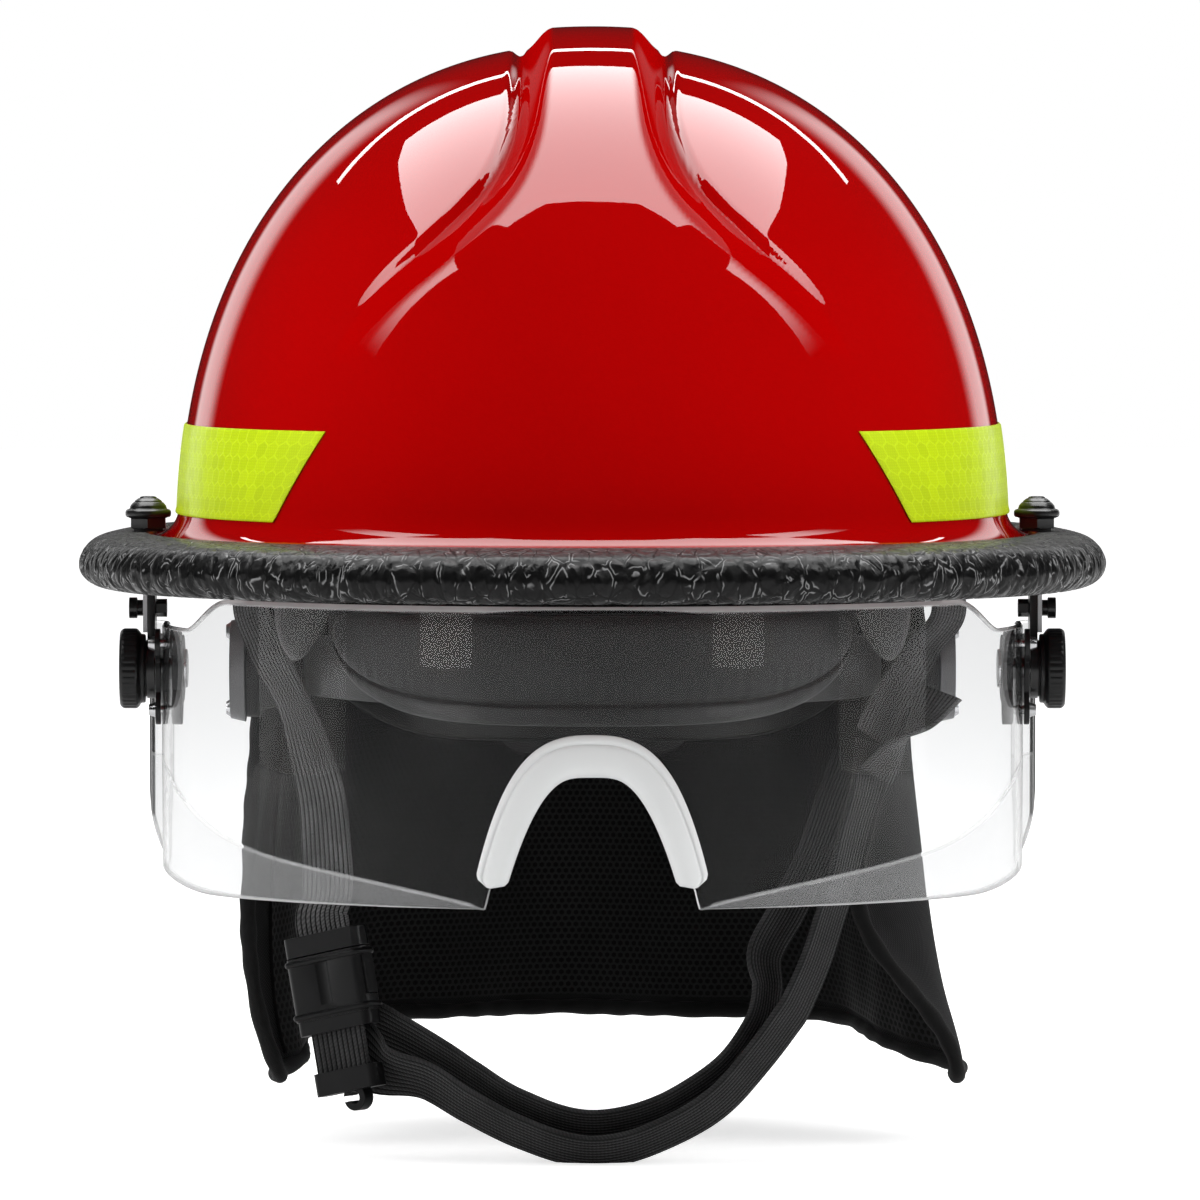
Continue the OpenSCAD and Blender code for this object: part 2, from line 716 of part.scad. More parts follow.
// The nose piece grips the arch's edge with a slot and follows the same stations
nose_section = [
    [-4, 1.3], [-4, 2], [-1, 2.6], [2.6, 2.2], [4.3, 0.6], [4.4, -1.4], [3, -3.2], [-1.5, -3.4],
    [-4, -2.2], [-4, -1.3], [0.3, -1.3], [0.3, 1.3]
];

module nose_piece() {
    first = len(half_stations) - 7;
    last = len(lens_stations) - 1 - first;
    ids = [for (i = [first : last]) i];
    path = [for (i = ids) let (s = lens_stations[i]) [s[1], pivot_y - s[0], arch_z(s[1])]];
    color([0.88, 0.9, 0.9])
    skin([for (k = [0 : len(ids) - 1])
        let (
            t = tangent(path, k),
            face = lens_out(ids[k]),
            s = unit(face - t * (face * t)),
            n = cross(t, s)
        )
        let (wide = mix(1.25, 0.9, pow(abs(path[k].x) / nose_half, 2)) * (n.z < 0 ? 1 : -1))
        [for (c = nose_section) path[k] + n * wide * c[0] + s * c[1]]
    ], turned = true);
}

// Outline shared by the plates on both faces of the lens: a disc with a lobe for each screw
module plate_outline(r) {
    circle(r, $fn = 64);
    for (s = lens_screw_spots) {
        rotate(atan2(-s[0], -s[1])) translate([0, -3.9]) square([norm(s), 7.8]);
        translate([-s[1], -s[0]]) circle(4.2, $fn = 40);
    }
}

module lens_plate(x, t, r) {
    difference() {
        along_x(x, pivot_y, pivot_z) linear_extrude(t) plate_outline(r);
        pivot_hole(stud_r + 0.05, x - 1, x + t + 1);
        for (s = lens_screw_spots) pivot_hole(1.3, x - 1, x + t + 1, s);
    }
}

module pivot_plates() {
    color([0.06, 0.06, 0.06]) both_sides() lens_plate(plate_x, plate_t, 10);
}

module backing_plates() {
    color([0.25, 0.25, 0.25]) both_sides() lens_plate(back_x - back_t, back_t, 9.6);
}

module pivot_studs() {
    color([0.6, 0.6, 0.6])
    both_sides() {
        pivot_hole(5.5, back_x - back_t - 1.1, back_x - back_t - 0.1);
        pivot_hole(stud_r, back_x - back_t - 0.2, knob_x + knob_neck + knob_w - 2.4);
    }
}

module lens_screws() {
    color([0.7, 0.7, 0.7])
    both_sides()
    for (s = lens_screw_spots) {
        end = plate_x + plate_t;
        pivot_hole(1.2, back_x - back_t + 0.2, end + 0.1, s);
        difference() {
            along_x(end + 0.05, pivot_y - s[0], pivot_z + s[1]) cylinder(r1 = 2.2, r2 = 1.5, h = 1.9, $fn = 32);
            translate([end + 2, pivot_y - s[0], pivot_z + s[1]]) cube([1.4, 0.6, 3], center = true);
        }
    }
}

/* Brackets */
arm_w = 13;
flange_z = brim_root_z - brim_t - 2;
flange_t = 2.5;
cross_spot = [-6, 17];

module bracket() {
    arm_h = flange_z - flange_t - pivot_z;
    difference() {
        union() {
            pivot_hole(8.5, bracket_x, bracket_x + bracket_t);
            translate([bracket_x, pivot_y, pivot_z]) cube([bracket_t, arm_w, arm_h + 0.5]);
            translate([bracket_x - 2.9, pivot_y - 9, flange_z - flange_t]) cube([9.7, arm_w + 13, flange_t]);
            for (y = [pivot_y + 1.2, pivot_y + arm_w - 2.2])
                translate([bracket_x + bracket_t - 0.2, y, flange_z - flange_t - 4]) cube([2.6, 1, 4.2]);
        }
        pivot_hole(stud_r + run_gap, bracket_x - 1, bracket_x + bracket_t + 1);
        pivot_hole(1.6, bracket_x - 1, bracket_x + bracket_t + 1, cross_spot);
        translate([nut_x, pivot_y, flange_z - flange_t - 1]) cylinder(r = bolt_r + 0.05, h = flange_t + 2, $fn = 48);
    }
}

module right_bracket() {
    color([0.05, 0.05, 0.05]) bracket();
}

module left_bracket() {
    color([0.05, 0.05, 0.05]) mirror([1, 0, 0]) bracket();
}

// A thin grey plate outside each arm with two small holes
module stop_plates() {
    x = bracket_x + bracket_t + 0.1;
    t = 1.2;
    low = pivot_z + 10.2;
    high = flange_z - flange_t - 4.3;
    color([0.55, 0.55, 0.56])
    both_sides()
    difference() {
        translate([x, pivot_y + 1, low]) cube([t, arm_w - 2, high - low]);
        pivot_hole(1.6, x - 1, x + t + 1, cross_spot);
        pivot_hole(1, x - 1, x + t + 1, [-10, 14]);
        pivot_hole(1, x - 1, x + t + 1, [-10, 19]);
    }
}

module bracket_screws() {
    out = bracket_x + bracket_t + 1.4;
    color([0.06, 0.06, 0.06])
    both_sides() {
        pivot_hole(1.5, bracket_x - 2.8, out + 0.2, cross_spot);
        pivot_hole(2.3, out, out + 1.8, cross_spot);
        pivot_hole(3, out + 1.7, out + 4, cross_spot);
        along_x(bracket_x - 3.2, pivot_y - cross_spot[0], pivot_z + cross_spot[1]) cylinder(r = 2.6, h = 3.1, $fn = 6);
    }
}

washer_h = 0.7;
nut_z = nut_seat_z + washer_h + 0.05;

module bracket_bolts() {
    color([0.5, 0.5, 0.5])
    both_sides() translate([nut_x, pivot_y, flange_z - flange_t + 0.1]) cylinder(r = bolt_r, h = nut_z + 5 - flange_z + flange_t, $fn = 48);
}

module nut_washers() {
    color([0.1, 0.1, 0.1])
    both_sides() translate([nut_x, pivot_y, nut_seat_z]) difference() {
        cylinder(r = 4.2, h = washer_h, $fn = 48);
        translate([0, 0, -1]) cylinder(r = bolt_r + 0.1, h = 3, $fn = 48);
    }
}

module cap_nuts() {
    color([0.05, 0.05, 0.05])
    both_sides() translate([nut_x, pivot_y, nut_z]) difference() {
        rotate_extrude($fn = 64) polygon([
            [0, 0], [4.2, 0], [4.2, 3.2], [5.6, 3.4], [6.1, 3.9], [6.1, 4.9], [5.6, 5.4],
            [5, 6.4], [3.9, 7.5], [2.4, 8.3], [2.2, 8.6], [1.8, 9], [0, 9.2]
        ]);
        translate([0, 0, -1]) cylinder(r = bolt_r + 0.05, h = 6.5, $fn = 48);
    }
}

module friction_washers() {
    color([0.2, 0.2, 0.2])
    both_sides() difference() {
        pivot_hole(8, washer_x, washer_x + washer_t);
        pivot_hole(stud_r + run_gap, washer_x - 1, washer_x + washer_t + 1);
    }
}

module knob() {
    along_x(knob_x, pivot_y, pivot_z) difference() {
        rotate_extrude($fn = 96) polygon([
            [stud_r + run_gap, 0], [knob_r - 1.6, 0], [knob_r - 1.6, knob_neck - 0.4], [knob_r - 1.2, knob_neck],
            [knob_r - 0.6, knob_neck + 0.1], [knob_r, knob_neck + 0.8], [knob_r, knob_neck + knob_w - 1],
            [knob_r - 0.8, knob_neck + knob_w], [knob_r - 2, knob_neck + knob_w], [knob_r - 3, knob_neck + knob_w - 1],
            [0, knob_neck + knob_w - 1.5], [0, knob_neck + knob_w - 2.2], [stud_r + run_gap, knob_neck + knob_w - 2.2]
        ]);
        for (i = [0 : 11]) rotate(i * 30) translate([knob_r + 0.9, 0, knob_neck + 1.2]) cylinder(r = 1.3, h = 3, $fn = 24);
    }
}

module right_knob() {
    color([0.05, 0.05, 0.05]) knob();
}

module left_knob() {
    color([0.05, 0.05, 0.05]) mirror([1, 0, 0]) knob();
}

/* Chin strap */
buckle_at = [-73.5, -32, -119];
buckle_turn = -36.87;
buckle_lean = -12;

// Directions of the buckle's own axes
buckle_across = [cos(buckle_lean) * cos(buckle_turn), cos(buckle_lean) * sin(buckle_turn), -sin(buckle_lean)];
buckle_up = [sin(buckle_lean) * cos(buckle_turn), sin(buckle_lean) * sin(buckle_turn), cos(buckle_lean)];
buckle_face = [-sin(buckle_turn), cos(buckle_turn), 0];

left_points = [
    [-cap_in + 8.6, -18.5, 40], [-cap_in + 6.3, -19, 29], [-cap_in - 2.4, -20.5, 12], [-97, -22, -10], [-92.7, -22, -24.6],
    [-85, -22.5, -39.7], [-80, -24, -54], [-76.5, -26, -70], [-75, -28.5, -92],
    buckle_at + buckle_up * 19, buckle_at + buckle_up * 10.8
];
left_across = [
    [0.22, -0.97, 0], [0.22, -0.97, 0], [0.35, -0.93, 0], [0.5, -0.86, 0], [0.6, -0.8, 0],
    [0.5, -0.86, 0.1], [0.64, -0.76, 0.1], [0.7, -0.7, 0.15], [0.76, -0.63, 0.2],
    buckle_across, buckle_across
];
right_points = [
    [cap_in - 8.6, -18.5, 40], [cap_in - 6.3, -19, 29], [cap_in + 3.4, -20.5, 12], [101, -22, -12], [93.5, -22.5, -25.5],
    [85.5, -23.5, -38], [79.5, -25, -50]
];
right_across = [
    [-0.22, -0.97, 0], [-0.22, -0.97, 0], [-0.35, -0.93, 0], [-0.5, -0.86, 0], [-0.6, -0.8, 0],
    [-0.62, -0.78, 0], [-0.6, -0.8, 0]
];
chin_points = [
    [79.2, -25.6, -51.5], [77.9, -27.4, -61.7], [74.1, -29, -76.8], [69, -32, -95.5], [60, -37, -120],
    [54, -40.5, -130.5], [38.3, -47, -149], [20, -52, -160.5], [0, -54.5, -165.5], [-20, -52, -160],
    [-35, -46.5, -153], [-47, -42, -146.5], [-59.5, -36, -143], buckle_at - buckle_up * 19.5 + buckle_face * 5.2
];
chin_across = [
    [-0.5, -0.86, 0], [-0.48, -0.87, 0], [-0.45, -0.89, 0], [-0.42, -0.9, 0.1], [-0.4, -0.88, 0.25],
    [-0.38, -0.86, 0.3], [-0.25, -0.86, 0.45], [-0.1, -0.86, 0.5], [0, -0.86, 0.5], [0.1, -0.86, 0.5],
    [0.2, -0.86, 0.46], [0.35, -0.84, 0.42], [0.6, -0.7, 0.35], buckle_across
];

module webbing(points, across, steps) {
    color([0.13, 0.13, 0.13]) ribbon(curve(points, steps), curve(across, steps), web_w, web_t);
}

module left_strap() {
    webbing(left_points, left_across, 27);
}

module right_strap() {
    webbing(right_points, right_across, 18);
}

module chin_strap() {
    webbing(chin_points, chin_across, 52);
}

// The second layer of the chin strap runs beside the first and kinks on its way up
return_points = [
    [73.5, -20.5, -56], [68, -22.5, -71], [62, -25, -86], [55, -28, -99], [49, -31.5, -111],
    [49.5, -34, -121], [46.8, -37.5, -132], [36, -42.5, -144.5], [19, -47.5, -154.5], [0, -49.5, -158.5],
    [-20, -46.5, -153], [-33, -41.5, -146], [-42, -37.5, -141], [-53, -32, -135], [-64, -26.5, -130.5]
];
return_across = [
    [-0.6, -0.8, 0], [-0.58, -0.81, 0], [-0.55, -0.83, 0], [-0.55, -0.83, 0.1], [-0.5, -0.85, 0.1],
    [-0.4, -0.9, 0], [-0.4, -0.86, 0.25], [-0.25, -0.86, 0.45], [-0.1, -0.86, 0.5], [0, -0.86, 0.5],
    [0.1, -0.86, 0.5], [0.2, -0.86, 0.46], [0.3, -0.84, 0.42], [0.4, -0.8, 0.42], [0.55, -0.72, 0.4]
];

module return_strap() {
    webbing(return_points, return_across, 52);
}

// The rear leg comes round the hub, turns edge on and lies on the chin strap
rear_points = [[80.4, -28.2, -61], [86.2, -28.2, -52.5], [93.6, -27.5, -44.5], [98.6, -25.8, -37]];
rear_across = [[-0.42, -0.78, 0.36], [-0.25, -0.88, 0.1], [0.15, -0.9, -0.3], [0.42, -0.8, -0.42]];

module rear_strap() {
    webbing(rear_points, rear_across, 8);
}

module at_buckle() {
    translate(buckle_at) rotate([0, 0, buckle_turn]) rotate([0, buckle_lean, 0]) children();
}

socket_w = 27;
socket_d = 8.4;
socket_low = -9.8;
mouth_z = 8.2;
cavity_w = 23;
cavity_d = 5;
prong_low = -5.2;
prong_high = 6.2;
loop_y = -1.5;
loop_end = -27;

// A slot for the webbing through a frame
module web_slot(depth, low, high) {
    translate([-web_w / 2 - 0.6, -depth / 2, low]) cube([web_w + 1.2, depth, high - low]);
}

module buckle_socket() {
    color([0.04, 0.04, 0.04])
    at_buckle() difference() {
        union() {
            translate([0, 0, socket_low]) linear_extrude(mouth_z - socket_low) round_square(socket_w, socket_d, 3);
            translate([0, 0, socket_low - 4]) linear_extrude(4.2) round_square(socket_w - 1, 7.4, 2.4);
        }
        translate([-cavity_w / 2, -cavity_d / 2, socket_low + 1.8]) cube([cavity_w, cavity_d, 30]);
        for (x = [-1, 1])
            translate([x * socket_w / 2 - 4, -cavity_d / 2 + 0.01, prong_low - fit])
                cube([8, cavity_d - 0.02, prong_high - prong_low + 2 * fit]);
        web_slot(5.2, socket_low - 5, socket_low - 1);
        translate([0, -socket_d / 2 - 3.2, -6]) cylinder(r = 4, h = 12, $fn = 40);
    }
}

module buckle_tongue() {
    base = mouth_z + fit;
    color([0.04, 0.04, 0.04])
    at_buckle() difference() {
        union() {
            translate([0, 0, base]) linear_extrude(5.8) round_square(socket_w, 7, 2.4);
            translate([-2.5, -1.8, socket_low + 2.2]) cube([5, 3.6, base - socket_low - 2]);
        }
        web_slot(2.8, base + 1.8, base + 8);
    }
}

// A release prong: its arm runs in the cavity and its button fills the socket's side window
module prong() {
    color([0.06, 0.06, 0.06]) {
        translate([8.4, -1.9, prong_low]) cube([2.6, 3.8, mouth_z - prong_low]);
        translate([10.6, -2.1, prong_low]) cube([socket_w / 2 + 0.4 - 10.6, 4.2, prong_high - prong_low]);
    }
}

module front_prong() {
    at_buckle() prong();
}

module rear_prong() {
    at_buckle() mirror([1, 0, 0]) prong();
}

// A short loop of webbing hangs from the socket and carries the slide
module buckle_loop() {
    ends = [socket_low - 1.8, loop_end];
    webbing([for (k = [0 : 3]) buckle_at + buckle_face * loop_y + buckle_up * mix(ends[0], ends[1], k / 3)],
        [for (k = [0 : 3]) buckle_across], 6);
}

module strap_slide() {
    hook_r = 3.8;
    color([0.04, 0.04, 0.04])
    at_buckle() translate([1.5, loop_y, loop_end - 4.5]) difference() {
        union() {
            linear_extrude(6.5) round_square(web_w + 3.6, 6.4, 2.4);
            rotate([90, 0, 0]) translate([2, -2, -2]) linear_extrude(4) difference() {
                circle(r = hook_r, $fn = 40);
                circle(r = hook_r - 2, $fn = 32);
                translate([-hook_r - 1, -0.8]) square([hook_r + 1, 1.6]);
            }
        }
        translate([-1.5, 0, 0]) web_slot(2.6, 4, 9);
    }
}

shell();
edge_trim();
reflective_patches();
impact_cap();
crown_straps();
suspension_hangers();
temple_pads();
headband();
brow_pad();
nape_band();
ratchet_housing();
size_knob();
hub_bosses();
hub_plates();
hub_screws();
neck_curtain();
curtain_lining();
curtain_binding();
visor_lens();
nose_piece();
pivot_plates();
backing_plates();
pivot_studs();
lens_screws();
left_bracket();
right_bracket();
stop_plates();
bracket_screws();
bracket_bolts();
cap_nuts();
nut_washers();
friction_washers();
left_knob();
right_knob();
left_strap();
right_strap();
rear_strap();
chin_strap();
return_strap();
buckle_loop();
buckle_socket();
buckle_tongue();
front_prong();
rear_prong();
strap_slide();
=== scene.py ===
import json
import math

import bmesh
import bpy
import numpy as np
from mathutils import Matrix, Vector


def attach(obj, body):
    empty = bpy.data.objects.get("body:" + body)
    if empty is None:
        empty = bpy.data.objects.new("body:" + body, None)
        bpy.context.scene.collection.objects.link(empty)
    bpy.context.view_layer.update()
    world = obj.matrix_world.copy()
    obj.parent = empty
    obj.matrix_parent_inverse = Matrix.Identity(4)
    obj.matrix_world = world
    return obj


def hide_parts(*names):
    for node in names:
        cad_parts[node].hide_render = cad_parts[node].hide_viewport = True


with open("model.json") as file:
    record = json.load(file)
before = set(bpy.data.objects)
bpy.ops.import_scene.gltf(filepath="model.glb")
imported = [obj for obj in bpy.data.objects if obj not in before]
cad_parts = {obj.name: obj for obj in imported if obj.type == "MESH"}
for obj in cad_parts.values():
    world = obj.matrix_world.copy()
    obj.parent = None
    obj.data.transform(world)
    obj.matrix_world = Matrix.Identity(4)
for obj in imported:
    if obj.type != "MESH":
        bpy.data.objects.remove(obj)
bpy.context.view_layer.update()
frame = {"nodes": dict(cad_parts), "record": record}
nodes = frame["nodes"]
print("frame loaded:", len(nodes), "nodes")

mm = 0.001  # every shape below is worked out in millimetres

# camera: straight in front and tilted down a little
cameraSet = {"distance": 3.2, "elevation": 2.2, "widthAtMiddle": 0.34286, "aimX": 0.00214, "aimZ": -0.012}


def addObject(name, data):
    # an object at the origin, linked to the scene
    thing = bpy.data.objects.new(name, data)
    bpy.context.scene.collection.objects.link(thing)
    return thing


def addCamera(s):
    # the lens is the sensor's width times the distance over the width seen at the middle
    data = bpy.data.cameras.new("photoCamera")
    camera = addObject("photoCamera", data)
    tilt = math.radians(s["elevation"])
    aim = Vector((s["aimX"], 0, s["aimZ"]))
    back = Vector((0, -math.cos(tilt), math.sin(tilt)))
    camera.location = aim + back * s["distance"]
    camera.rotation_euler = (math.pi / 2 - tilt, 0, 0)
    data.sensor_width = 36
    data.lens = 36 * s["distance"] / s["widthAtMiddle"]
    data.clip_start = 0.1
    data.clip_end = 50
    bpy.context.scene.camera = camera
    bpy.context.scene.view_settings.view_transform = "Standard"


addCamera(cameraSet)

# mesh helpers


def lengthsAlong(points):
    # running length along a row of points, starting at 0
    step = np.linalg.norm(np.diff(points, axis=0), axis=1)
    return np.concatenate([[0], np.cumsum(step)])


def gridMesh(name, grid, closeU=False, caps="strip", sharp=35, uScale=None, vScale=None):
    # grid[i, j] is a point; i runs along the piece and j round its section.
    # Quads join neighbours, the last column joins the first, and so does the last row where closeU is set;
    # else both ends get a cap: a strip across the section or a fan to its middle.
    m, n = grid.shape[:2]
    verts = grid.reshape(-1, 3)
    a, b = np.meshgrid(np.arange(m if closeU else m - 1), np.arange(n), indexing="ij")
    a, b = a.ravel(), b.ravel()
    ai, bj = (a + 1) % m, (b + 1) % n
    quads = np.stack([a * n + b, a * n + bj, ai * n + bj, ai * n + b], 1)
    if uScale is None:
        uScale = lengthsAlong(np.concatenate([grid.mean(1), grid.mean(1)[:1]]))
    if vScale is None:
        mid = grid[m // 2]
        vScale = lengthsAlong(np.concatenate([mid, mid[:1]]))
    uv = np.stack([
        np.stack([uScale[a], vScale[b]], 1), np.stack([uScale[a], vScale[b + 1]], 1),
        np.stack([uScale[a + 1], vScale[b + 1]], 1), np.stack([uScale[a + 1], vScale[b]], 1)], 1)
    faces, uvs = [quads], [uv]
    if not closeU and caps == "strip":
        k = np.arange(n // 2 - 1)
        ring = np.stack([k, k + 1, n - 2 - k, n - 1 - k], 1)
        local = np.stack([uScale[0] + vScale[ring], 0 * vScale[ring]], -1)
        faces += [ring[:, ::-1], ring + (m - 1) * n]
        uvs += [local[:, ::-1], local]
    elif not closeU:
        verts = np.concatenate([verts, [grid[0].mean(0), grid[-1].mean(0)]])
        k = np.arange(n)
        fan = np.stack([np.full(n, m * n), (k + 1) % n, k], 1)
        faces += [fan, (fan + [1, (m - 1) * n, (m - 1) * n])[:, ::-1]]
        uvs += [np.zeros((n, 3, 2))] * 2
    return meshFrom(name, verts, faces, uvs, sharp)


def meshFrom(name, verts, faces, uvs, sharp):
    # volume by summed signed tetrahedra tells whether the faces look outwards
    volume = 0
    for f in faces:
        p = verts[f]
        for k in range(1, f.shape[1] - 1):
            volume += np.einsum("ij,ij->", p[:, 0], np.cross(p[:, k], p[:, k + 1]))
    mesh = bpy.data.meshes.new(name)
    mesh.vertices.add(len(verts))
    mesh.vertices.foreach_set("co", (verts * mm).astype(np.float32).ravel())
    if volume < 0:
        faces = [f[:, ::-1] for f in faces]
        uvs = [u[:, ::-1] for u in uvs]
    loops = np.concatenate([f.ravel() for f in faces])
    sizes = np.concatenate([np.full(len(f), f.shape[1]) for f in faces])
    mesh.loops.add(len(loops))
    mesh.loops.foreach_set("vertex_index", loops.astype(np.int32))
    mesh.polygons.add(len(sizes))
    mesh.polygons.foreach_set("loop_start", (np.cumsum(sizes) - sizes).astype(np.int32))
    layer = mesh.uv_layers.new(name="surface")
    uv = np.concatenate([u.reshape(-1, 2) for u in uvs]) * mm
    layer.data.foreach_set("uv", uv.astype(np.float32).ravel())
    mesh.update(calc_edges=True)
    mesh.validate()
    mesh.polygons.foreach_set("use_smooth", np.ones(len(mesh.polygons), bool))
    mesh.set_sharp_from_angle(angle=math.radians(sharp))
    return addObject(name, mesh)


def addValue(thing, label, values):
    # one number for each point, which a material reads by its label
    layer = thing.data.attributes.new(label, "FLOAT", "POINT")
    layer.data.foreach_set("value", np.asarray(values, np.float32).ravel())


def place(thing, material, body="helmet", nodesFor=()):
    # gives a piece its material and its body, and hides the nodes it stands for
    thing.data.materials.clear()
    thing.data.materials.append(material)
    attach(thing, body)
    if nodesFor:
        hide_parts(*nodesFor)
    return thing


def readAll(rows, label, width, kind=float):
    # one property of all points, corners or faces as an array
    values = np.zeros(len(rows) * width, kind)
    rows.foreach_get(label, values)
    return values.reshape(-1, width) if width > 1 else values


def oneMesh(name, parts, sharp=35):
    # several parts become one mesh: their points, faces and surface coordinates are put end to end
    verts, faces, uvs, offset = [], [], [], 0
    for part in parts:
        mesh = part.data
        index = readAll(mesh.loops, "vertex_index", 1, np.int32)
        start = readAll(mesh.polygons, "loop_start", 1, np.int32)
        total = readAll(mesh.polygons, "loop_total", 1, np.int32)
        uv = readAll(mesh.uv_layers[0].data, "uv", 2) / mm
        for size in np.unique(total):
            pick = start[total == size][:, None] + np.arange(size)
            faces.append(index[pick] + offset)
            uvs.append(uv[pick])
        verts.append(readAll(mesh.vertices, "co", 3) / mm)
        offset += len(mesh.vertices)
        bpy.data.objects.remove(part)
    return meshFrom(name, np.concatenate(verts), faces, uvs, sharp)


def mirrored(grid):
    # the same grid on the other side of the middle plane
    return grid * np.array([-1, 1, 1])


def ease(a, b, v):
    # from 0 to 1 with level ends, as v goes from a to b
    t = np.clip((v - a) / (b - a), 0, 1)
    return t * t * (3 - 2 * t)


def mix(a, b, t):
    # from a to b as t goes from 0 to 1
    return a + (b - a) * t


def unit(v):
    # each vector over its own length
    return v / np.maximum(np.linalg.norm(v, axis=-1, keepdims=True), 1e-9)


def curveThrough(points, count):
    # Catmull-Rom: each span is a cubic through its two points, leaning to the neighbours
    p = np.asarray(points, float)
    u = np.linspace(0, len(p) - 1, count)
    i = np.minimum(u.astype(int), len(p) - 2)
    t = (u - i)[:, None]
    a, b, c, d = p[np.maximum(i - 1, 0)], p[i], p[i + 1], p[np.minimum(i + 2, len(p) - 1)]
    square, cube = 2 * a - 5 * b + 4 * c - d, 3 * b - a - 3 * c + d
    return 0.5 * (2 * b + (c - a) * t + square * t**2 + cube * t**3)


def frames(path, across):
    # tangent, width direction and face direction at each point of a path
    t = unit(np.gradient(path, axis=0))
    w = unit(across - t * np.sum(across * t, axis=1, keepdims=True))
    return t, w, np.cross(t, w)


def sweep(path, across, section):
    # the section's points (width, thickness) are set square to the path at each of its points
    w, n = frames(path, across)[1:]
    s = np.asarray(section, float)[None]
    return path[:, None] + w[:, None] * s[..., 0:1] + n[:, None] * s[..., 1:2]


def lathe(profile, centre, axis, count, bumps):
    # a profile of (radius, height) turned about an axis through the centre; bumps changes the radii
    pr = np.asarray(profile, float)
    angle = np.arange(count) * 2 * math.pi / count
    axis = np.asarray(axis, float)
    side = unit(np.cross(axis, [0, 0, 1] if abs(axis[2]) < 0.9 else [0, 1, 0]))
    up = np.cross(axis, side)
    r = bumps(np.broadcast_to(pr[:, 0][:, None], (len(pr), count)), angle[None], pr)
    ring = side * np.cos(angle)[:, None] + up * np.sin(angle)[:, None]
    return np.asarray(centre, float) + r[..., None] * ring[None] + pr[:, 1][:, None, None] * axis


def rounded(profile, radius, steps):
    # every inner corner of an open profile is cut to a short round
    p = np.asarray(profile, float)
    out = [p[0]]
    for a, b, c in zip(p[:-2], p[1:-1], p[2:]):
        la, lc = np.linalg.norm(a - b), np.linalg.norm(c - b)
        r = min(radius, la * 0.45, lc * 0.45)
        s, e = b + (a - b) * r / max(la, 1e-9), b + (c - b) * r / max(lc, 1e-9)
        for t in np.linspace(0, 1, steps):
            out.append((1 - t) ** 2 * s + 2 * t * (1 - t) * b + t * t * e)
    out.append(p[-1])
    return np.array(out)


# materials


class Wiring:
    # a short way to add nodes to a material or a group and join them
    def __init__(self, tree):
        self.tree = tree
        self.shader = tree.nodes.get("Principled BSDF")

    def add(self, kind, inputs=None, **settings):
        node = self.tree.nodes.new(kind)
        for key, value in settings.items():
            setattr(node, key, value)
        for key, value in (inputs or {}).items():
            self.put(node.inputs[key], value)
        return node

    def put(self, socket, value):
        if isinstance(value, bpy.types.NodeSocket):
            self.tree.links.new(value, socket)
        elif isinstance(value, bpy.types.Node):
            self.tree.links.new(value.outputs[0], socket)
        else:
            socket.default_value = value

    def math(self, operation, a, b=0.0, c=0.0, clamp=False):
        node = self.add("ShaderNodeMath", {0: a, 1: b, 2: c}, operation=operation, use_clamp=clamp)
        return node.outputs[0]

    def vector(self, operation, a, b=None):
        node = self.add("ShaderNodeVectorMath", {0: a}, operation=operation)
        if b is not None:
            self.put(node.inputs["Scale"] if operation == "SCALE" else node.inputs[1], b)
        return node.outputs["Value"] if operation in ("DOT_PRODUCT", "LENGTH", "DISTANCE") else node.outputs[0]

    def ramp(self, factor, low, high, reverse=False):
        start, end = (1.0, 0.0) if reverse else (0.0, 1.0)
        node = self.add("ShaderNodeMapRange", {0: factor, 1: low, 2: high, 3: start, 4: end},
                        interpolation_type="SMOOTHSTEP")
        return node.outputs[0]

    def colours(self, factor, a, b):
        node = self.add("ShaderNodeMix", data_type="RGBA")
        self.put(node.inputs[0], factor)
        self.put(node.inputs[6], (*a, 1) if isinstance(a, tuple) else a)
        self.put(node.inputs[7], (*b, 1) if isinstance(b, tuple) else b)
        return node.outputs[2]

    def noise(self, coords, scale, detail=3.0, rough=0.55):
        return self.add("ShaderNodeTexNoise", {"Vector": coords, "Scale": scale, "Detail": detail,
                                               "Roughness": rough}).outputs[0]

    def object(self):
        return self.add("ShaderNodeTexCoord").outputs["Object"]

    def surface(self):
        return self.add("ShaderNodeUVMap", uv_map="surface").outputs[0]

    def value(self, label):
        return self.add("ShaderNodeAttribute", attribute_name=label).outputs["Fac"]

    def paint(self, colour, rough, height, strength, distance, socket="Normal"):
        # joins a colour, a roughness and a bump to the material's shader
        node = self.add("ShaderNodeBump", {"Height": height, "Strength": strength, "Distance": distance})
        for key, value in (("Base Color", colour), ("Roughness", rough), (socket, node)):
            self.put(self.shader.inputs[key], value)


def newGroup(name, inputs, outputs):
    # an empty node group with named inputs (label, kind, value) and outputs (label, kind)
    group = bpy.data.node_groups.new(name, "ShaderNodeTree")
    for label, kind, value in inputs:
        socket = group.interface.new_socket(label, in_out="INPUT", socket_type=kind)
        if value is not None:
            socket.default_value = value
    for label, kind in outputs:
        group.interface.new_socket(label, in_out="OUTPUT", socket_type=kind)
    w = Wiring(group)
    return group, w, w.add("NodeGroupInput"), w.add("NodeGroupOutput")


def useGroup(w, group, inputs):
    # one use of a group with its own values
    node = w.add("ShaderNodeGroup")
    node.node_tree = group
    for key, value in inputs.items():
        w.put(node.inputs[key], value)
    return node


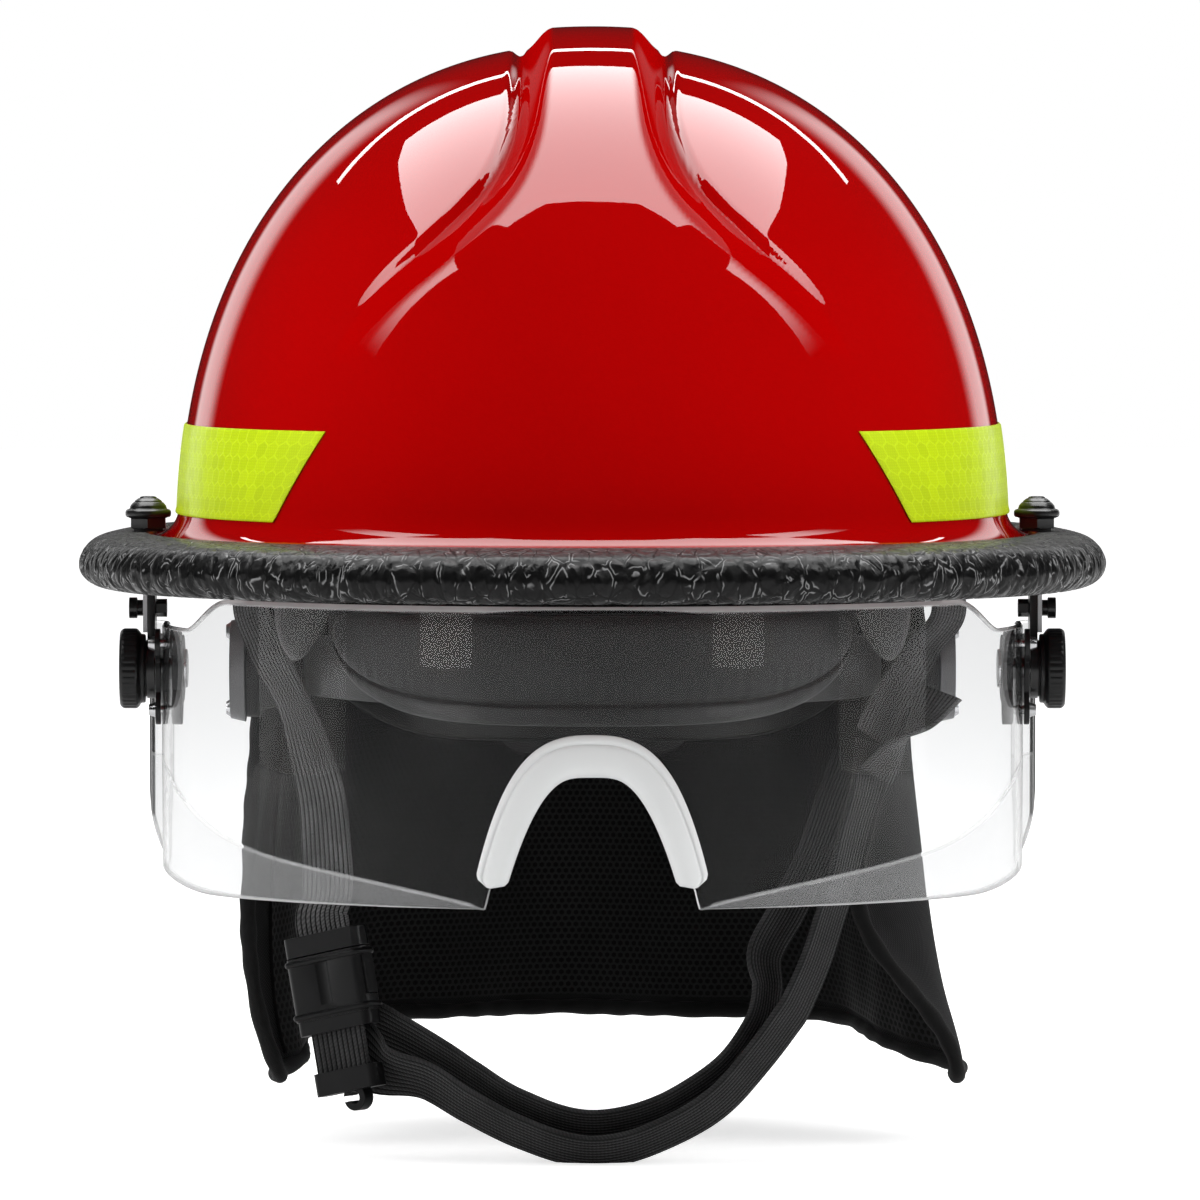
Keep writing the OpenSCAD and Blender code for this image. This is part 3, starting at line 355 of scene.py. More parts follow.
def makeHoneycomb():
    # hexagons: the nearer of two staggered lattices gives the cell centre, and the distance to the
    # nearest of the three edge directions gives 0 at the wall and 0.5 in the middle
    group, w, i, o = newGroup("honeycomb", [("Place", "NodeSocketVector", None), ("Cell", "NodeSocketFloat", 2.0)],
                              [("Wall", "NodeSocketFloat"), ("Tone", "NodeSocketFloat")])
    scaled = w.vector("SCALE", i.outputs["Place"], w.math("DIVIDE", 1000.0, i.outputs["Cell"]))
    root = math.sqrt(3)
    size, half = (1.0, root, 1000.0), (0.5, root / 2, 500.0)
    lattices = []
    for shift in (500, 500.5):
        inCell = w.vector("MODULO", w.vector("ADD", scaled, (shift, shift * root, 0)), size)
        lattices.append(w.vector("MULTIPLY", w.vector("SUBTRACT", inCell, half), (1, 1, 0)))
    first, second = lattices
    nearer = w.math("LESS_THAN", w.vector("LENGTH", first), w.vector("LENGTH", second))
    other = w.math("SUBTRACT", 1.0, nearer)
    cell = w.vector("ADD", w.vector("SCALE", first, nearer), w.vector("SCALE", second, other))
    folded = w.vector("ABSOLUTE", cell)
    slant = w.vector("DOT_PRODUCT", folded, (0.5, root / 2, 0))
    straight = w.vector("DOT_PRODUCT", folded, (1, 0, 0))
    w.put(o.inputs["Wall"], w.math("SUBTRACT", 0.5, w.math("MAXIMUM", slant, straight)))
    centre = w.vector("SUBTRACT", scaled, cell)
    snapped = w.vector("SNAP", centre, (0.25, 0.25, 0.25))
    tone = w.add("ShaderNodeTexWhiteNoise", {"Vector": snapped}, noise_dimensions="3D")
    w.put(o.inputs["Tone"], tone.outputs["Value"])
    return group


def makeSurface():
    # the colour times a slow drift about 1, fine grain for the bump and broad smudges for the gloss
    group, w, i, o = newGroup("surfaceDrift", [
        ("Place", "NodeSocketVector", None), ("Colour", "NodeSocketColor", None),
        ("Drift", "NodeSocketFloat", 0.15), ("Grain", "NodeSocketFloat", 900.0)], [
        ("Colour", "NodeSocketColor"), ("Grain", "NodeSocketFloat"), ("Smudge", "NodeSocketFloat")])
    broad = w.noise(i.outputs["Place"], 18.0, 4.0)
    fine = w.noise(i.outputs["Place"], i.outputs["Grain"], 2.0)
    smudge = w.noise(i.outputs["Place"], 55.0, 5.0, 0.62)
    twice = w.math("MULTIPLY", i.outputs["Drift"], 2.0)
    lift = w.math("MULTIPLY_ADD", w.math("SUBTRACT", broad, 0.5), twice, 1.0)
    w.put(o.inputs["Colour"], w.vector("SCALE", i.outputs["Colour"], lift))
    w.put(o.inputs["Grain"], fine)
    w.put(o.inputs["Smudge"], w.ramp(smudge, 0.35, 0.75))
    return group


honeycomb = makeHoneycomb()
surfaceDrift = makeSurface()


def newMaterial(name, fixed):
    # fixed holds the numbers and colours that are the same all over, set on the shader's own sockets
    material = bpy.data.materials.new(name)
    material.use_nodes = True
    w = Wiring(material.node_tree)
    for key, value in fixed.items():
        socket = w.shader.inputs[key]
        socket.default_value = (*value, 1) if socket.type == "RGBA" else value
    return material, w


def plainFinish(name, colour, rough, grain=900.0, bumpSize=0.00006, drift=0.12, **fixed):
    # moulded plastic, rubber or painted metal: drifting colour, grain in the bump and smudges in the gloss
    material, w = newMaterial(name, {"Specular IOR Level": 0.3, **fixed})
    d = useGroup(w, surfaceDrift, {"Place": w.object(), "Colour": (*colour, 1), "Drift": drift, "Grain": grain})
    gloss = w.math("MULTIPLY_ADD", d.outputs["Smudge"], rough * 0.35, rough * 0.85)
    w.paint(d.outputs["Colour"], gloss, d.outputs["Grain"], 0.35, bumpSize)
    return material


def redShellFinish():
    # red paint under a clear coat: fine specks, a slight peel in the coat, and little coat in the channel
    material, w = newMaterial("redShellPaint", {
        "Coat Weight": 1.0, "Coat Roughness": 0.015, "Coat IOR": 1.5, "Specular IOR Level": 0.0})
    place3 = w.object()
    w.put(w.shader.inputs["Coat Weight"], w.math("MULTIPLY_ADD", w.value("channel"), -0.92, 1.0))
    broad = w.noise(place3, 9.0, 3.0)
    colour = w.colours(w.ramp(broad, 0.3, 0.7), (0.325, 0.0004, 0.0005), (0.36, 0.0005, 0.0007))
    speck = w.ramp(w.noise(place3, 1300.0, 1.0), 0.72, 0.80)
    colour = w.colours(w.math("MULTIPLY", speck, 0.2), colour, (0.42, 0.012, 0.012))
    gloss = w.math("MULTIPLY_ADD", w.noise(place3, 60.0, 4.0), 0.12, 0.3)
    peel = w.math("MULTIPLY_ADD", w.noise(place3, 260.0, 2.0), 0.3, w.noise(place3, 38.0, 2.0))
    w.paint(colour, gloss, peel, 0.25, 0.00006, "Coat Normal")
    return material


def trimFinish():
    # cracked hide: plates between the borders of cells that are about three times as tall as wide,
    # so they are small on the top and long on the nose; a painted highlight, thin pale glints, runs along the plates'
    # rims here and there
    material, w = newMaterial("grainedTrim", {
        "Specular IOR Level": 0.12, "Coat Weight": 0.16, "Coat Roughness": 0.1})
    spot = w.object()
    bend = w.add("ShaderNodeTexNoise", {"Vector": spot, "Scale": 170.0, "Detail": 2.0}).outputs["Color"]
    bent = w.vector("ADD", spot, w.vector("SCALE", w.vector("SUBTRACT", bend, (0.5, 0.5, 0.5)), 0.0026))
    cells = w.add("ShaderNodeTexVoronoi", {"Vector": w.vector("MULTIPLY", bent, (1.0, 1.0, 0.3)), "Scale": 215.0},
                  feature="DISTANCE_TO_EDGE").outputs["Distance"]
    crack = w.ramp(cells, 0.015, 0.065, reverse=True)
    # painted highlight: thin pale glints along the rims of the plates, here and there
    paintedGlint = w.math("MULTIPLY", w.ramp(cells, 0.05, 0.075), w.ramp(cells, 0.085, 0.13, reverse=True))
    paintedGlint = w.math("MULTIPLY", paintedGlint, w.ramp(w.noise(spot, 240.0, 1.0), 0.5, 0.6))
    pores = w.noise(spot, 1500.0, 2.0)
    # painted light: the plates on the top are lighter, as where the overhead light falls on them
    plate = w.colours(w.value("top"), (0.003, 0.003, 0.0031), (0.036, 0.036, 0.0365))
    plate = w.colours(paintedGlint, plate, (0.17, 0.17, 0.172))
    colour = w.colours(crack, plate, (0.0008, 0.0008, 0.0008))
    gloss = w.math("MULTIPLY_ADD", w.math("MAXIMUM", crack, w.value("groove")), 0.3, 0.33)
    w.paint(colour, gloss, w.math("MULTIPLY_ADD", pores, 0.12, w.ramp(cells, 0.02, 0.32)), 0.8, 0.0006)
    return material


def patchFinish():
    # prismatic film: pale cell walls over bright lime cells, each cell a little different
    material, w = newMaterial("limePrismFilm", {
        "Coat Weight": 0.12, "Coat Roughness": 0.06, "Specular IOR Level": 0.12})
    h = useGroup(w, honeycomb, {"Place": w.surface(), "Cell": 4.6})
    fine = useGroup(w, honeycomb, {"Place": w.surface(), "Cell": 0.9})
    wall = w.ramp(h.outputs["Wall"], 0.03, 0.075, reverse=True)
    tone = w.math("MULTIPLY_ADD", h.outputs["Tone"], 0.14, 0.86)
    bright = w.math("MULTIPLY", tone, w.math("MULTIPLY_ADD", fine.outputs["Wall"], 0.35, 0.86))
    cell = w.vector("SCALE", (0.50, 0.66, 0.0), bright)
    colour = w.colours(w.math("MULTIPLY", wall, 0.5), cell, (0.56, 0.72, 0.005))
    gloss = w.math("MULTIPLY_ADD", fine.outputs["Tone"], 0.2, 0.28)
    w.paint(colour, gloss, w.math("ADD", wall, fine.outputs["Wall"]), 0.4, 0.00012)
    return material


def webbingFinish(name, dark, light):
    # ribs run along the strap, with painted shade in the dips between them; threads cross each rib in slanting rows
    material, w = newMaterial(name, {"Sheen Weight": 0.08, "Sheen Roughness": 0.5, "Specular IOR Level": 0.15})
    sep = w.add("ShaderNodeSeparateXYZ", {0: w.surface()})
    slant = w.math("MULTIPLY_ADD", sep.outputs[1], 0.6, sep.outputs[0])
    thread = w.math("SINE", w.math("MULTIPLY", slant, 2 * math.pi / 0.0011))
    fuzz = w.noise(w.object(), 2400.0, 3.0)
    drift = w.noise(w.object(), 90.0, 4.0)
    threads = w.math("MULTIPLY_ADD", thread, 0.1, w.math("MULTIPLY", fuzz, 0.3))
    yarn = w.colours(w.ramp(w.math("MULTIPLY_ADD", drift, 0.7, threads), 0.2, 0.9), dark, light)
    # painted shade: the dips between the ribs are darkened
    colour = w.colours(w.ramp(w.value("dip"), 0.1, 0.6), yarn, (0.0015, 0.0015, 0.0015))
    gloss = w.math("MULTIPLY_ADD", fuzz, 0.25, 0.6)
    w.paint(colour, gloss, w.math("MULTIPLY_ADD", thread, 0.3, fuzz), 0.6, 0.0002)
    return material


def clothFinish(name, dark, light, warp, roughness):
    # plain weave: two sines of the surface lengths, one over the other in turn
    material, w = newMaterial(name, {"Sheen Weight": 0.06, "Sheen Roughness": 0.45, "Specular IOR Level": 0.12})
    sep = w.add("ShaderNodeSeparateXYZ", {0: w.surface()})
    a = w.math("SINE", w.math("MULTIPLY", sep.outputs[0], 2 * math.pi / warp))
    b = w.math("SINE", w.math("MULTIPLY", sep.outputs[1], 2 * math.pi / warp))
    weave = w.math("MULTIPLY", a, b)
    slub = w.noise(w.object(), 240.0, 4.0)
    drift = w.noise(w.object(), 24.0, 4.0)
    tone = w.ramp(w.math("MULTIPLY_ADD", slub, 0.5, w.math("MULTIPLY", drift, 0.6)), 0.3, 0.8)
    gloss = w.math("MULTIPLY_ADD", slub, 0.2, roughness)
    w.paint(w.colours(tone, dark, light), gloss, w.math("MULTIPLY_ADD", weave, 0.5, slub), 0.6, 0.0003)
    return material


def meshFinish():
    # spacer mesh: staggered round holes with painted shade inside, with a raised net between them
    material, w = newMaterial("curtainMesh", {
        "Sheen Weight": 0.06, "Sheen Roughness": 0.5, "Specular IOR Level": 0.15})
    h = useGroup(w, honeycomb, {"Place": w.surface(), "Cell": 2.05})
    hole = w.ramp(h.outputs["Wall"], 0.12, 0.24)
    fuzz = w.noise(w.object(), 1800.0, 3.0)
    net = w.colours(fuzz, (0.004, 0.004, 0.004), (0.012, 0.012, 0.012))
    gloss = w.math("MULTIPLY_ADD", hole, 0.25, 0.6)
    height = w.math("MULTIPLY_ADD", hole, -1.0, w.math("MULTIPLY", fuzz, 0.15))
    # painted shade: the holes are darkened
    w.paint(w.colours(hole, net, (0.0015, 0.0015, 0.0015)), gloss, height, 0.35, 0.0004)
    return material


def lensFinish():
    # clear polished sheet: a light clouding; on the facet that is turned out a painted reflection, a milky veil; and
    # painted lines on the rims, from a pale painted highlight to painted shade
    material, w = newMaterial("clearLens", {"Roughness": 0.0, "IOR": 1.16, "Metallic": 0.0})
    facet, rim = w.value("facet"), w.value("rim")
    drift = w.noise(w.object(), 22.0, 2.0)
    hazeAndPaintedShine = w.math("MULTIPLY_ADD", facet, 0.095, w.math("MULTIPLY_ADD", drift, 0.003, 0.001))
    # painted highlight and painted shade: the rims turn pale and, at the wing ends, dark and opaque
    hazeAndPaintedShine = w.math("MULTIPLY_ADD", rim, 0.55, hazeAndPaintedShine, clamp=True)
    w.put(w.shader.inputs["Transmission Weight"], w.math("SUBTRACT", 1.0, hazeAndPaintedShine))
    # the turned-out facet is greyer, part of its painted reflection
    clear = w.colours(facet, (0.91, 0.915, 0.92), (0.80, 0.805, 0.81))
    line = w.colours(w.math("MINIMUM", rim, 1.0), clear, (0.5, 0.5, 0.5))
    w.put(w.shader.inputs["Base Color"], w.colours(w.ramp(rim, 1.0, 1.8), line, (0.03, 0.03, 0.03)))
    return material


def foamFinish(name, dark, light, pore):
    # beads: the distance to the nearest of many scattered points, with a slow drift
    material, w = newMaterial(name, {"Specular IOR Level": 0.3})
    v = w.add("ShaderNodeTexVoronoi", {"Vector": w.object(), "Scale": pore}, feature="F1").outputs["Distance"]
    drift = w.noise(w.object(), 30.0, 4.0)
    tone = w.ramp(w.math("MULTIPLY_ADD", v, 0.5, w.math("MULTIPLY", drift, 0.6)), 0.2, 0.8)
    w.paint(w.colours(tone, dark, light), w.math("MULTIPLY_ADD", drift, 0.2, 0.65), v, 0.5, 0.0003)
    return material


def padFinish():
    # soft coated fabric: small pebble grain with creases
    material, w = newMaterial("paddedSkin", {"Specular IOR Level": 0.3, "Sheen Weight": 0.1})
    v = w.add("ShaderNodeTexVoronoi", {"Vector": w.object(), "Scale": 900.0},
              feature="DISTANCE_TO_EDGE").outputs["Distance"]
    drift = w.noise(w.object(), 45.0, 4.0)
    colour = w.colours(w.ramp(drift, 0.3, 0.75), (0.009, 0.009, 0.0093), (0.019, 0.019, 0.0193))
    height = w.math("MULTIPLY_ADD", w.noise(w.object(), 60.0, 3.0), 2.0, w.ramp(v, 0.0, 0.25))
    w.paint(colour, w.math("MULTIPLY_ADD", drift, 0.18, 0.46), height, 0.25, 0.00008)
    return material


def steelFinish():
    # bright plating: fine grain and smudges that dull the gloss
    material, w = newMaterial("platedSteel", {"Metallic": 1.0})
    d = useGroup(w, surfaceDrift, {"Place": w.object(), "Colour": (0.55, 0.55, 0.56, 1), "Drift": 0.2,
                                   "Grain": 2200.0})
    gloss = w.math("MULTIPLY_ADD", d.outputs["Smudge"], 0.2, 0.22)
    w.paint(d.outputs["Colour"], gloss, d.outputs["Grain"], 0.25, 0.00004)
    return material


finish = {
    "redShell": redShellFinish(), "trim": trimFinish(), "patch": patchFinish(),
    "webbing": webbingFinish("blackWebbing", (0.009, 0.009, 0.009), (0.036, 0.036, 0.037)),
    # painted light: the same webbing made lighter for the legs behind the lens, for the veil and light on them
    "legs": webbingFinish("paintedLightLegWebbing", (0.02, 0.02, 0.02), (0.12, 0.12, 0.122)),
    "cloth": clothFinish("curtainCloth", (0.003, 0.003, 0.003), (0.011, 0.011, 0.0115), 0.0009, 0.68),
    "binding": clothFinish("curtainBinding", (0.004, 0.004, 0.004), (0.012, 0.012, 0.012), 0.0006, 0.55),
    "mesh": meshFinish(), "lens": lensFinish(), "pad": padFinish(), "steel": steelFinish(),
    "foam": foamFinish("linerFoam", (0.014, 0.014, 0.015), (0.03, 0.03, 0.031), 420.0),
    "liner": plainFinish("linerPlastic", (0.012, 0.012, 0.0122), 0.45, 700.0, 0.00005),
    "plastic": plainFinish("blackPlastic", (0.005, 0.005, 0.0052), 0.38, 1100.0, 0.00006),
    "buckle": plainFinish("bucklePlastic", (0.005, 0.005, 0.0052), 0.34, 1300.0, 0.00005,
                          **{"Specular IOR Level": 0.18}),
    "metal": plainFinish("blackBracket", (0.006, 0.006, 0.0062), 0.33, 1600.0, 0.00004,
                         **{"Coat Weight": 0.3, "Coat Roughness": 0.2}),
    "grey": plainFinish("greyPlastic", (0.045, 0.045, 0.046), 0.4, 900.0, 0.00004),
    "hub": plainFinish("hubPlastic", (0.16, 0.16, 0.162), 0.42, 900.0, 0.00004),
    "aluminium": plainFinish("bareAluminium", (0.42, 0.42, 0.43), 0.38, 2000.0, 0.00003, Metallic=1.0),
    "rubber": plainFinish("palerRubber", (0.72, 0.73, 0.73), 0.38, 1200.0, 0.00003, 0.05,
                          **{"Subsurface Weight": 0.25, "Subsurface Radius": (0.4, 0.4, 0.4),
                             "Subsurface Scale": 0.004, "Transmission Weight": 0.15}),
    "washer": plainFinish("washerRubber", (0.012, 0.012, 0.012), 0.6),
}
print("materials ready:", len(finish))

# shell: a tall oval dome with a central ridge, grooves beside it and a sweep into the brim
shellSet = {"halfWidth": 118, "front": 142, "rear": 148, "height": 143, "power": 2.2, "footZ": 3.7, "wall": 3,
            "flareR": 8.4, "flareZ": 15, "ridgeHeight": 5, "ridgeTop": 21, "grooveDepth": 2.6, "valleyWall": 3.2,
            "valleySteps": 120, "aroundFront": 360, "aroundBack": 180,
            "valley": [(20.5, 152), (20.8, 136), (23, 120), (30, 106), (45, 90.6), (57.5, 79), (68, 66), (75, 52)]}
brimSet = {"halfWidth": 141, "front": 165, "rear": 172, "power": 2.4, "rootZ": 6.6, "edgeZ": 1.5}


def sinD(a):
    return np.sin(np.radians(a))


def cosD(a):
    return np.cos(np.radians(a))


def ovalR(az, halfWidth, front, rear, power):
    # radius of an oval at an angle, 0 at the front and 90 at the right, from powers of sine and cosine
    end = np.where(cosD(az) > 0, front, rear)
    return ((np.abs(sinD(az)) / halfWidth) ** power + (np.abs(cosD(az)) / end) ** power) ** (-1 / power)


def onRay(az, r, z):
    # the point at a reach and a height on the ray at an angle from the front
    az, r, z = np.broadcast_arrays(np.asarray(az, float), r, z)
    return np.stack([r * sinD(az), -r * cosD(az), z], -1)


def footR(az, out):
    # the dome's oval at its foot, moved outwards by out
    s = shellSet
    return ovalR(az, s["halfWidth"] + out, s["front"] + out, s["rear"] + out, s["power"])


def brimR(az):
    return ovalR(az, brimSet["halfWidth"], brimSet["front"], brimSet["rear"], brimSet["power"])


def domeR(az, z, out):
    # the foot's radius times the root of 1 less a power of the share of the height
    s = shellSet
    up = np.clip((z - s["footZ"]) / (s["height"] + out), 0, 1)
    return footR(az, out) * (1 - up ** s["power"]) ** (1 / s["power"])


def domePoint(az, el, out):
    # the oval's radius shrinks with a power of the cosine and its height grows with one of the sine
    s = shellSet
    k = 2 / s["power"]
    z = s["footZ"] + (s["height"] + out) * np.abs(sinD(el)) ** k
    return onRay(az, footR(az, out) * np.abs(cosD(el)) ** k, z)


def domeEl(z, out):
    # the angle at which domePoint reaches a height
    s = shellSet
    return np.degrees(np.arcsin(np.clip((z - s["footZ"]) / (s["height"] + out), 0, 1) ** (s["power"] / 2)))


def valleyDistance(ax, z):
    # distance to the valley's line beside the ridge, above 0 on the ridge's side
    line = curveThrough(shellSet["valley"], shellSet["valleySteps"])
    best, side = np.full(np.shape(ax), 1e9), np.zeros(np.shape(ax))
    for start, end in zip(line[:-1], line[1:]):
        step = end - start
        px, pz = ax - start[0], z - start[1]
        t = np.clip((px * step[0] + pz * step[1]) / (step @ step), 0, 1)
        gap = np.hypot(px - t * step[0], pz - t * step[1])
        side = np.where(gap < best, np.sign(step[1] * px - step[0] * pz), side)
        best = np.minimum(gap, best)
    return best * side


def valleyWide(z):
    # how far the valley's slope runs up to the ridge, wider at the top
    return mix(8, 10, ease(60, 110, z))


def frontShare(y):
    # 1 in front of the top and 0 behind it
    return 1 - ease(-20, 25, y)


def relief(x, z, y):
    # the ridge and forehead stand proud inside the valley's line, less and less as it runs out over the
    # shoulder; the valley is steep on the lobe's side and eased up to the ridge on the other
    s = shellSet
    d = valleyDistance(np.abs(x), z)
    wide = valleyWide(z)
    rise = s["ridgeHeight"] * ease(45, 140, z) ** 1.3
    deep = s["grooveDepth"] * ease(62, 125, z)
    wall = np.where(d > 0, 1 - ease(0, 1, d / wide), 1 - ease(0, 1, -d / s["valleyWall"]))
    ridge = rise * ease(-0.15, 1, d / wide) - deep * wall
    # behind the top the ridge runs on as a plain one
    half = s["ridgeTop"] / 2
    plain = s["ridgeHeight"] * (1 - ease(half, half + 9, np.abs(x))) * ease(66, 112, z)
    groove = s["grooveDepth"] * (1 - ease(0, 2.4, np.abs(np.abs(x) - s["ridgeTop"]))) * ease(84, 100, z)
    return mix(plain - groove, ridge, frontShare(y))


def crownPoint(az, el):
    # the dome's point moved by the relief along the normal of a plain ellipsoid
    s = shellSet
    p = domePoint(az, el, 0)
    x, y, z = p[..., 0], p[..., 1], p[..., 2]
    n = unit(np.stack([x / s["halfWidth"] ** 2, y / s["front"] ** 2, (z - s["footZ"]) / s["height"] ** 2], -1))
    return p + n * relief(x, z, y)[..., None]


def rootR(az):
    # where the dome's flare ends and the flat of the brim begins
    return footR(az, 0) + shellSet["flareR"]


def makeShell():
    # rings from the top down: outer dome, quarter-round flare, brim, its edge, and back up inside
    s, root, rim = shellSet, brimSet["rootZ"], brimSet["edgeZ"]
    az = np.concatenate([np.linspace(-90, 90, s["aroundFront"], False), np.linspace(90, 270, s["aroundBack"], False)])
    el = np.concatenate([90 - 2.0 * np.linspace(0.02, 1, 6), np.linspace(87, 3.5, 130)])
    outer = list(crownPoint(*np.broadcast_arrays(az, el[:, None])))

    def flare(radius, steps):
        return [onRay(az, rootR(az) - radius * cosD(k), s["flareZ"] - radius * sinD(k)) for k in steps]

    def brim(shares, drop):
        return [onRay(az, mix(rootR(az), brimR(az), t), mix(root, rim, t) - drop) for t in shares]
    edge, under = brim((0.35, 0.7, 0.97, 1), 0), brim((1, 0.97, 0.5), s["wall"])
    sweepOut = flare(s["flareR"], np.linspace(12, 90, 12))
    sweepIn = flare(s["flareR"] + s["wall"], np.linspace(90, 12, 6))
    inner = [domePoint(az, e, -s["wall"]) for e in np.linspace(3.5, 89.9, 12)]
    rows = np.array(outer + sweepOut + edge + under + sweepIn + inner)
    shell = gridMesh("shellSkin", rows, caps="fan", sharp=50)
    # the channel beside the ridge is marked, and its paint gets little clear coat
    x, y, z = np.moveaxis(np.array(outer), -1, 0)
    d = valleyDistance(np.abs(x), z) / valleyWide(z)
    channel = np.zeros(rows.shape[:2])
    channel[:len(outer)] = ease(-0.06, 0.06, d) * (1 - ease(0.8, 0.98, d)) * ease(55, 66, z) * frontShare(y)
    addValue(shell, "channel", np.concatenate([channel.ravel(), [0, 0]]))
    place(shell, finish["redShell"], nodesFor=["shell"])


# edge trim: a rubber moulding that wraps the brim from its root to below its edge
trimSet = {"count": 1500, "steps": 58, "noseSpan": 26, "groovePitch": 5.0, "grooveDepth": 0.4, "cellPitch": 3.2,
           "cellDepth": 0.1}


def cellEdges(x, y, count, seed):
    # each unit square holds one jittered point, and the squares repeat along x after a whole count;
    # near 0 the nearest and second nearest points are equally far, which draws the cells' borders
    random = np.random.default_rng(seed)
    table = random.random((count, 64, 2)) * 0.8 + 0.1
    ix, iy = np.floor(x).astype(int), np.floor(y).astype(int)
    first, second = np.full(x.shape, 9.0), np.full(x.shape, 9.0)
    for dx in (-1, 0, 1):
        for dy in (-1, 0, 1):
            spot = table[(ix + dx) % count, (iy + dy) % 64]
            far = np.hypot(ix + dx + spot[..., 0] - x, iy + dy + spot[..., 1] - y)
            second = np.minimum(second, np.maximum(first, far))
            first = np.minimum(first, far)
    return second - first


def makeTrim():
    # a section of 17 points at each angle, joined by a smooth curve and sunk where the two cell patterns
    # draw their borders: slanting grooves on the nose and small cells on top
    t = trimSet
    az = np.arange(t["count"]) * 360 / t["count"]
    root, edge = rootR(az) + 0.2, brimR(az)
    slope = (brimSet["rootZ"] - brimSet["edgeZ"]) / (edge - rootR(az))
    # the nose swells and sinks a little along the rim, as moulded hide does
    turn = np.radians(az)
    swell = 0.16 * np.sin(turn * 150) + 0.14 * np.sin(turn * 83 + 1) + 0.1 * np.sin(turn * 37 + 2)
    keys = [(root, 6.9), (root + 0.1, 7.5), (root + 0.7, 7.95), (root + 2, 8.05), (mix(root, edge, 0.45), 7.95),
            (edge - 4, 7.3), (edge + 0.2, 6.25), (edge + 2.6, 4.7), (edge + 4.3, 2.4), (edge + 5 + swell, -0.3),
            (edge + 4.6 + swell, -3.0), (edge + 2.6, -5.6), (edge - 0.5, -6.9), (edge - 4, -7.05),
            (edge - 7.6, -6.5), (edge - 8.8, -5.8), (edge - 9, -5)]
    keys = np.array([onRay(az, r, z) for r, z in keys])
    rows = curveThrough(keys.reshape(len(keys), -1), t["steps"]).reshape(t["steps"], t["count"], 3)
    ring = lengthsAlong(np.concatenate([onRay(az, edge, 0), onRay(az, edge, 0)[:1]]))
    # v is the length round the section, from the dome's foot over the nose to the underside
    v = np.concatenate([[np.zeros(t["count"])], np.cumsum(np.linalg.norm(np.diff(rows, axis=0), axis=2), axis=0)])
    u = np.broadcast_to(ring[:-1], v.shape)
    nose = v - (v[-1] - t["noseSpan"])  # 0 at the shoulder above the nose, larger downwards
    wave = 1.3 * np.sin(v / 2.3 + u / 7) + 0.9 * np.sin(u / 3.1 + v / 3)
    grooveCount, cellCount = round(ring[-1] / t["groovePitch"]), round(ring[-1] / t["cellPitch"])
    long = cellEdges((u + 0.32 * nose + wave) * grooveCount / ring[-1], v / 17 + 20, grooveCount, 4)
    small = cellEdges((u + 0.6 * wave) * cellCount / ring[-1], v / t["cellPitch"] + 9, cellCount, 7)
    nutPad = np.exp(-((np.abs((u / ring[-1] * 360 + 5) % 180 - 90) / 9) ** 4)) * (1 - ease(-8, -2, nose))
    line = (1 - ease(0.04, 0.22, long)) * ease(-1, 4, nose)
    cells = (1 - ease(0.04, 0.26, small)) * (1 - ease(3, 8, nose)) * ease(1.5, 4, v) * (1 - nutPad)
    d = t["grooveDepth"] * line + t["cellDepth"] * cells
    out = unit(np.cross(np.gradient(rows, axis=0), np.gradient(rows, axis=1)))
    out = out * np.sign(np.sum(out[30] * rows[30] * [1, 1, 0], axis=-1))[None, :, None]
    rows = rows - out * d[..., None] * (1 - ease(v[-1] - 9, v[-1] - 3, v))[..., None]
    # the slot that holds the brim's edge
    slot = [(edge - 9, -1.5 - 0.2 + 9 * slope), (edge + 0.2, -1.7), (edge + 0.2, 1.7)]
    rows = np.concatenate([rows, np.array([onRay(az, r, z) for r, z in slot])])
    grid = np.swapaxes(rows, 0, 1)
    trim = gridMesh("edgeTrim", grid, closeU=True, sharp=60, uScale=ring)
    flat = np.zeros((3, t["count"]))
    addValue(trim, "groove", np.concatenate([np.maximum(line, cells), flat]).T)
    # the top is marked for its painted light, a lighter tone where it faces the overhead light
    addValue(trim, "top", np.concatenate([1 - ease(-3, 2, nose), flat]).T)
    place(trim, finish["trim"], nodesFor=["edge_trim"])


# reflective patches: thin film bent round the dome's foot, its ends slanting inwards as they go down
patchSet = {"low": 13.4, "height": 25.4, "lift": 0.25, "thick": 0.6, "front": (33, 96, 8), "rear": (108, 160, 7)}


def patchGrid(azA, azB, slant):
    # u runs round the dome and k up the film; the film thins to a round edge on all four sides
    s = patchSet
    k = np.concatenate([[0, 0.012, 0.03], np.linspace(0.06, 0.94, 20), [0.97, 0.988, 1]])
    u = np.concatenate([[0, 0.004, 0.012, 0.025], np.linspace(0.04, 0.96, 60), [0.975, 0.988, 0.996, 1]])
    uu, kk = np.meshgrid(u, k, indexing="ij")
    az = mix(azA + slant * (1 - kk), azB - slant * (1 - kk), uu)
    z = s["low"] + s["height"] * kk
    foot = np.maximum(0, shellSet["flareZ"] - z) * 0.3
    r = domeR(az, np.maximum(z, shellSet["flareZ"]), 0) + s["lift"] + foot
    rim = np.minimum(1, np.minimum(np.minimum(kk, 1 - kk) / 0.02, np.minimum(uu, 1 - uu) / 0.012))
    top = onRay(az, r + s["thick"] * (0.45 + 0.55 * np.sqrt(rim)), z)
    return np.concatenate([top, onRay(az, r, z)[:, ::-1]], axis=1)


